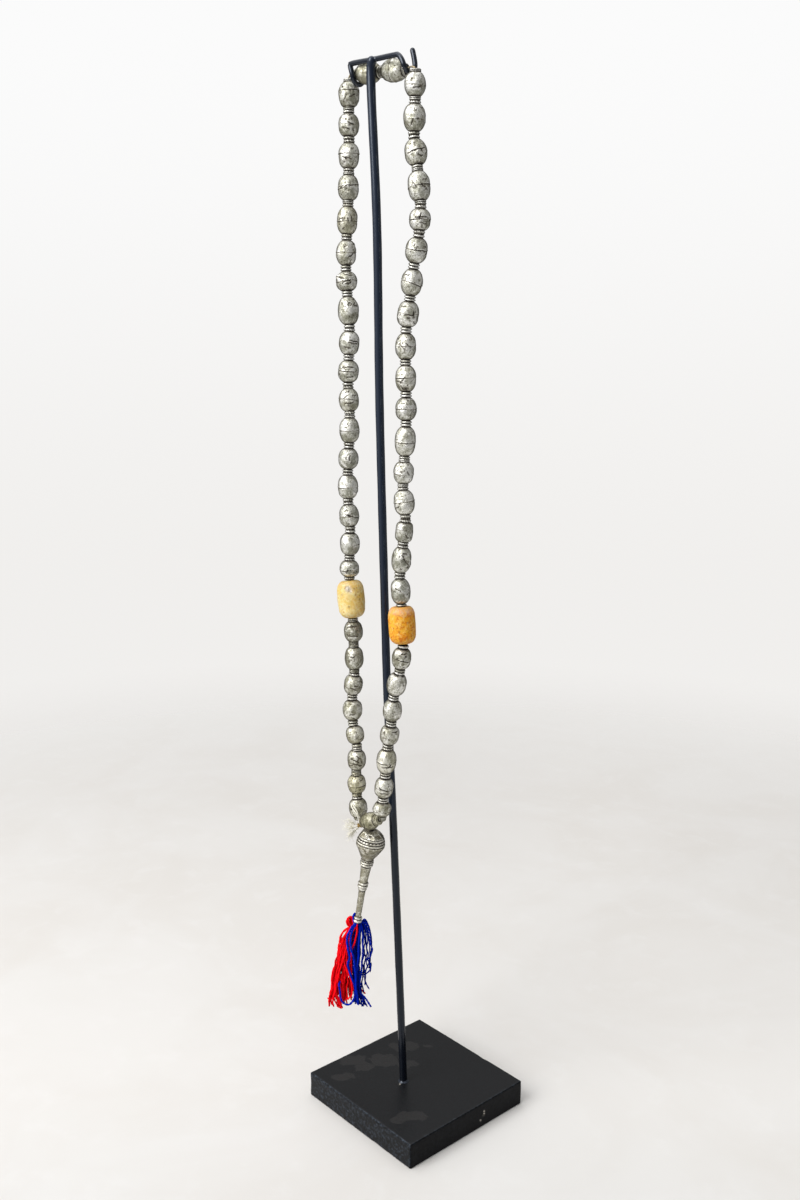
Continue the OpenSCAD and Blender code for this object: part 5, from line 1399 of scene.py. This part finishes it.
def place(right, toward, up):
    p = RIGHT * right + TOWARD * toward
    return (p[0], p[1], up)


soft_light("key", place(-1.3, 1.0, 1.6), (0, -0.03, 0.45), (1.25, 1.6), 36, (1.0, 0.99, 0.975))
soft_light("top", place(-0.2, -0.4, 2.3), (0, 0, 0.0), (1.8, 1.8), 15)

world = bpy.data.worlds.new("studio")
bpy.context.scene.world = world
world.use_nodes = True
wt = world.node_tree
wt.nodes.clear()
wo = wt.nodes.new("ShaderNodeOutputWorld")
seen = wt.nodes.new("ShaderNodeBackground")
sep = wt.nodes.new("ShaderNodeSeparateXYZ")
high = wt.nodes.new("ShaderNodeMapRange")
high.interpolation_type = "SMOOTHSTEP"
for k, v in (("From Min", -0.2), ("From Max", 0.28), ("To Min", 0.0), ("To Max", 1.0)):
    high.inputs[k].default_value = v
shade = wt.nodes.new("ShaderNodeMix")
shade.data_type = "RGBA"
shade.inputs[6].default_value = (0.875, 0.862, 0.845, 1)
shade.inputs[7].default_value = (0.965, 0.965, 0.965, 1)
wt.links.new(high.outputs["Result"], shade.inputs["Factor"])
wt.links.new(shade.outputs[2], seen.inputs[0])
seen.inputs[1].default_value = 1.0
lit = wt.nodes.new("ShaderNodeBackground")
tc = wt.nodes.new("ShaderNodeTexCoord")
wt.links.new(tc.outputs["Generated"], sep.inputs[0])
wt.links.new(sep.outputs[2], high.inputs["Value"])


def lobe(direction, power, gain):
    dot = wt.nodes.new("ShaderNodeVectorMath")
    dot.operation = "DOT_PRODUCT"
    wt.links.new(tc.outputs["Generated"], dot.inputs[0])
    dot.inputs[1].default_value = tuple(unit(direction))
    mx = wt.nodes.new("ShaderNodeMath")
    mx.operation = "MAXIMUM"
    wt.links.new(dot.outputs["Value"], mx.inputs[0])
    mx.inputs[1].default_value = 0.0
    pw = wt.nodes.new("ShaderNodeMath")
    pw.operation = "POWER"
    wt.links.new(mx.outputs[0], pw.inputs[0])
    pw.inputs[1].default_value = power
    ml = wt.nodes.new("ShaderNodeMath")
    ml.operation = "MULTIPLY"
    wt.links.new(pw.outputs[0], ml.inputs[0])
    ml.inputs[1].default_value = gain
    return ml.outputs[0]


def plus(a, b):
    n = wt.nodes.new("ShaderNodeMath")
    n.operation = "ADD"
    wt.links.new(a, n.inputs[0])
    if isinstance(b, float):
        n.inputs[1].default_value = b
    else:
        wt.links.new(b, n.inputs[1])
    return n.outputs[0]


level = plus(lobe(-RIGHT * 0.8 + TOWARD * 0.4 + UP * 0.5, 2.6, 0.95), 0.20)
level = plus(level, lobe(UP, 2.0, 0.25))
level = plus(level, lobe(RIGHT, 5.0, 0.18))
lit.inputs[0].default_value = (1.0, 0.99, 0.97, 1)
wt.links.new(level, lit.inputs[1])
lp = wt.nodes.new("ShaderNodeLightPath")
wm = wt.nodes.new("ShaderNodeMixShader")
wt.links.new(lp.outputs["Is Camera Ray"], wm.inputs[0])
wt.links.new(lit.outputs[0], wm.inputs[1])
wt.links.new(seen.outputs[0], wm.inputs[2])
wt.links.new(wm.outputs[0], wo.inputs[0])
bpy.context.scene.view_settings.view_transform = "Standard"
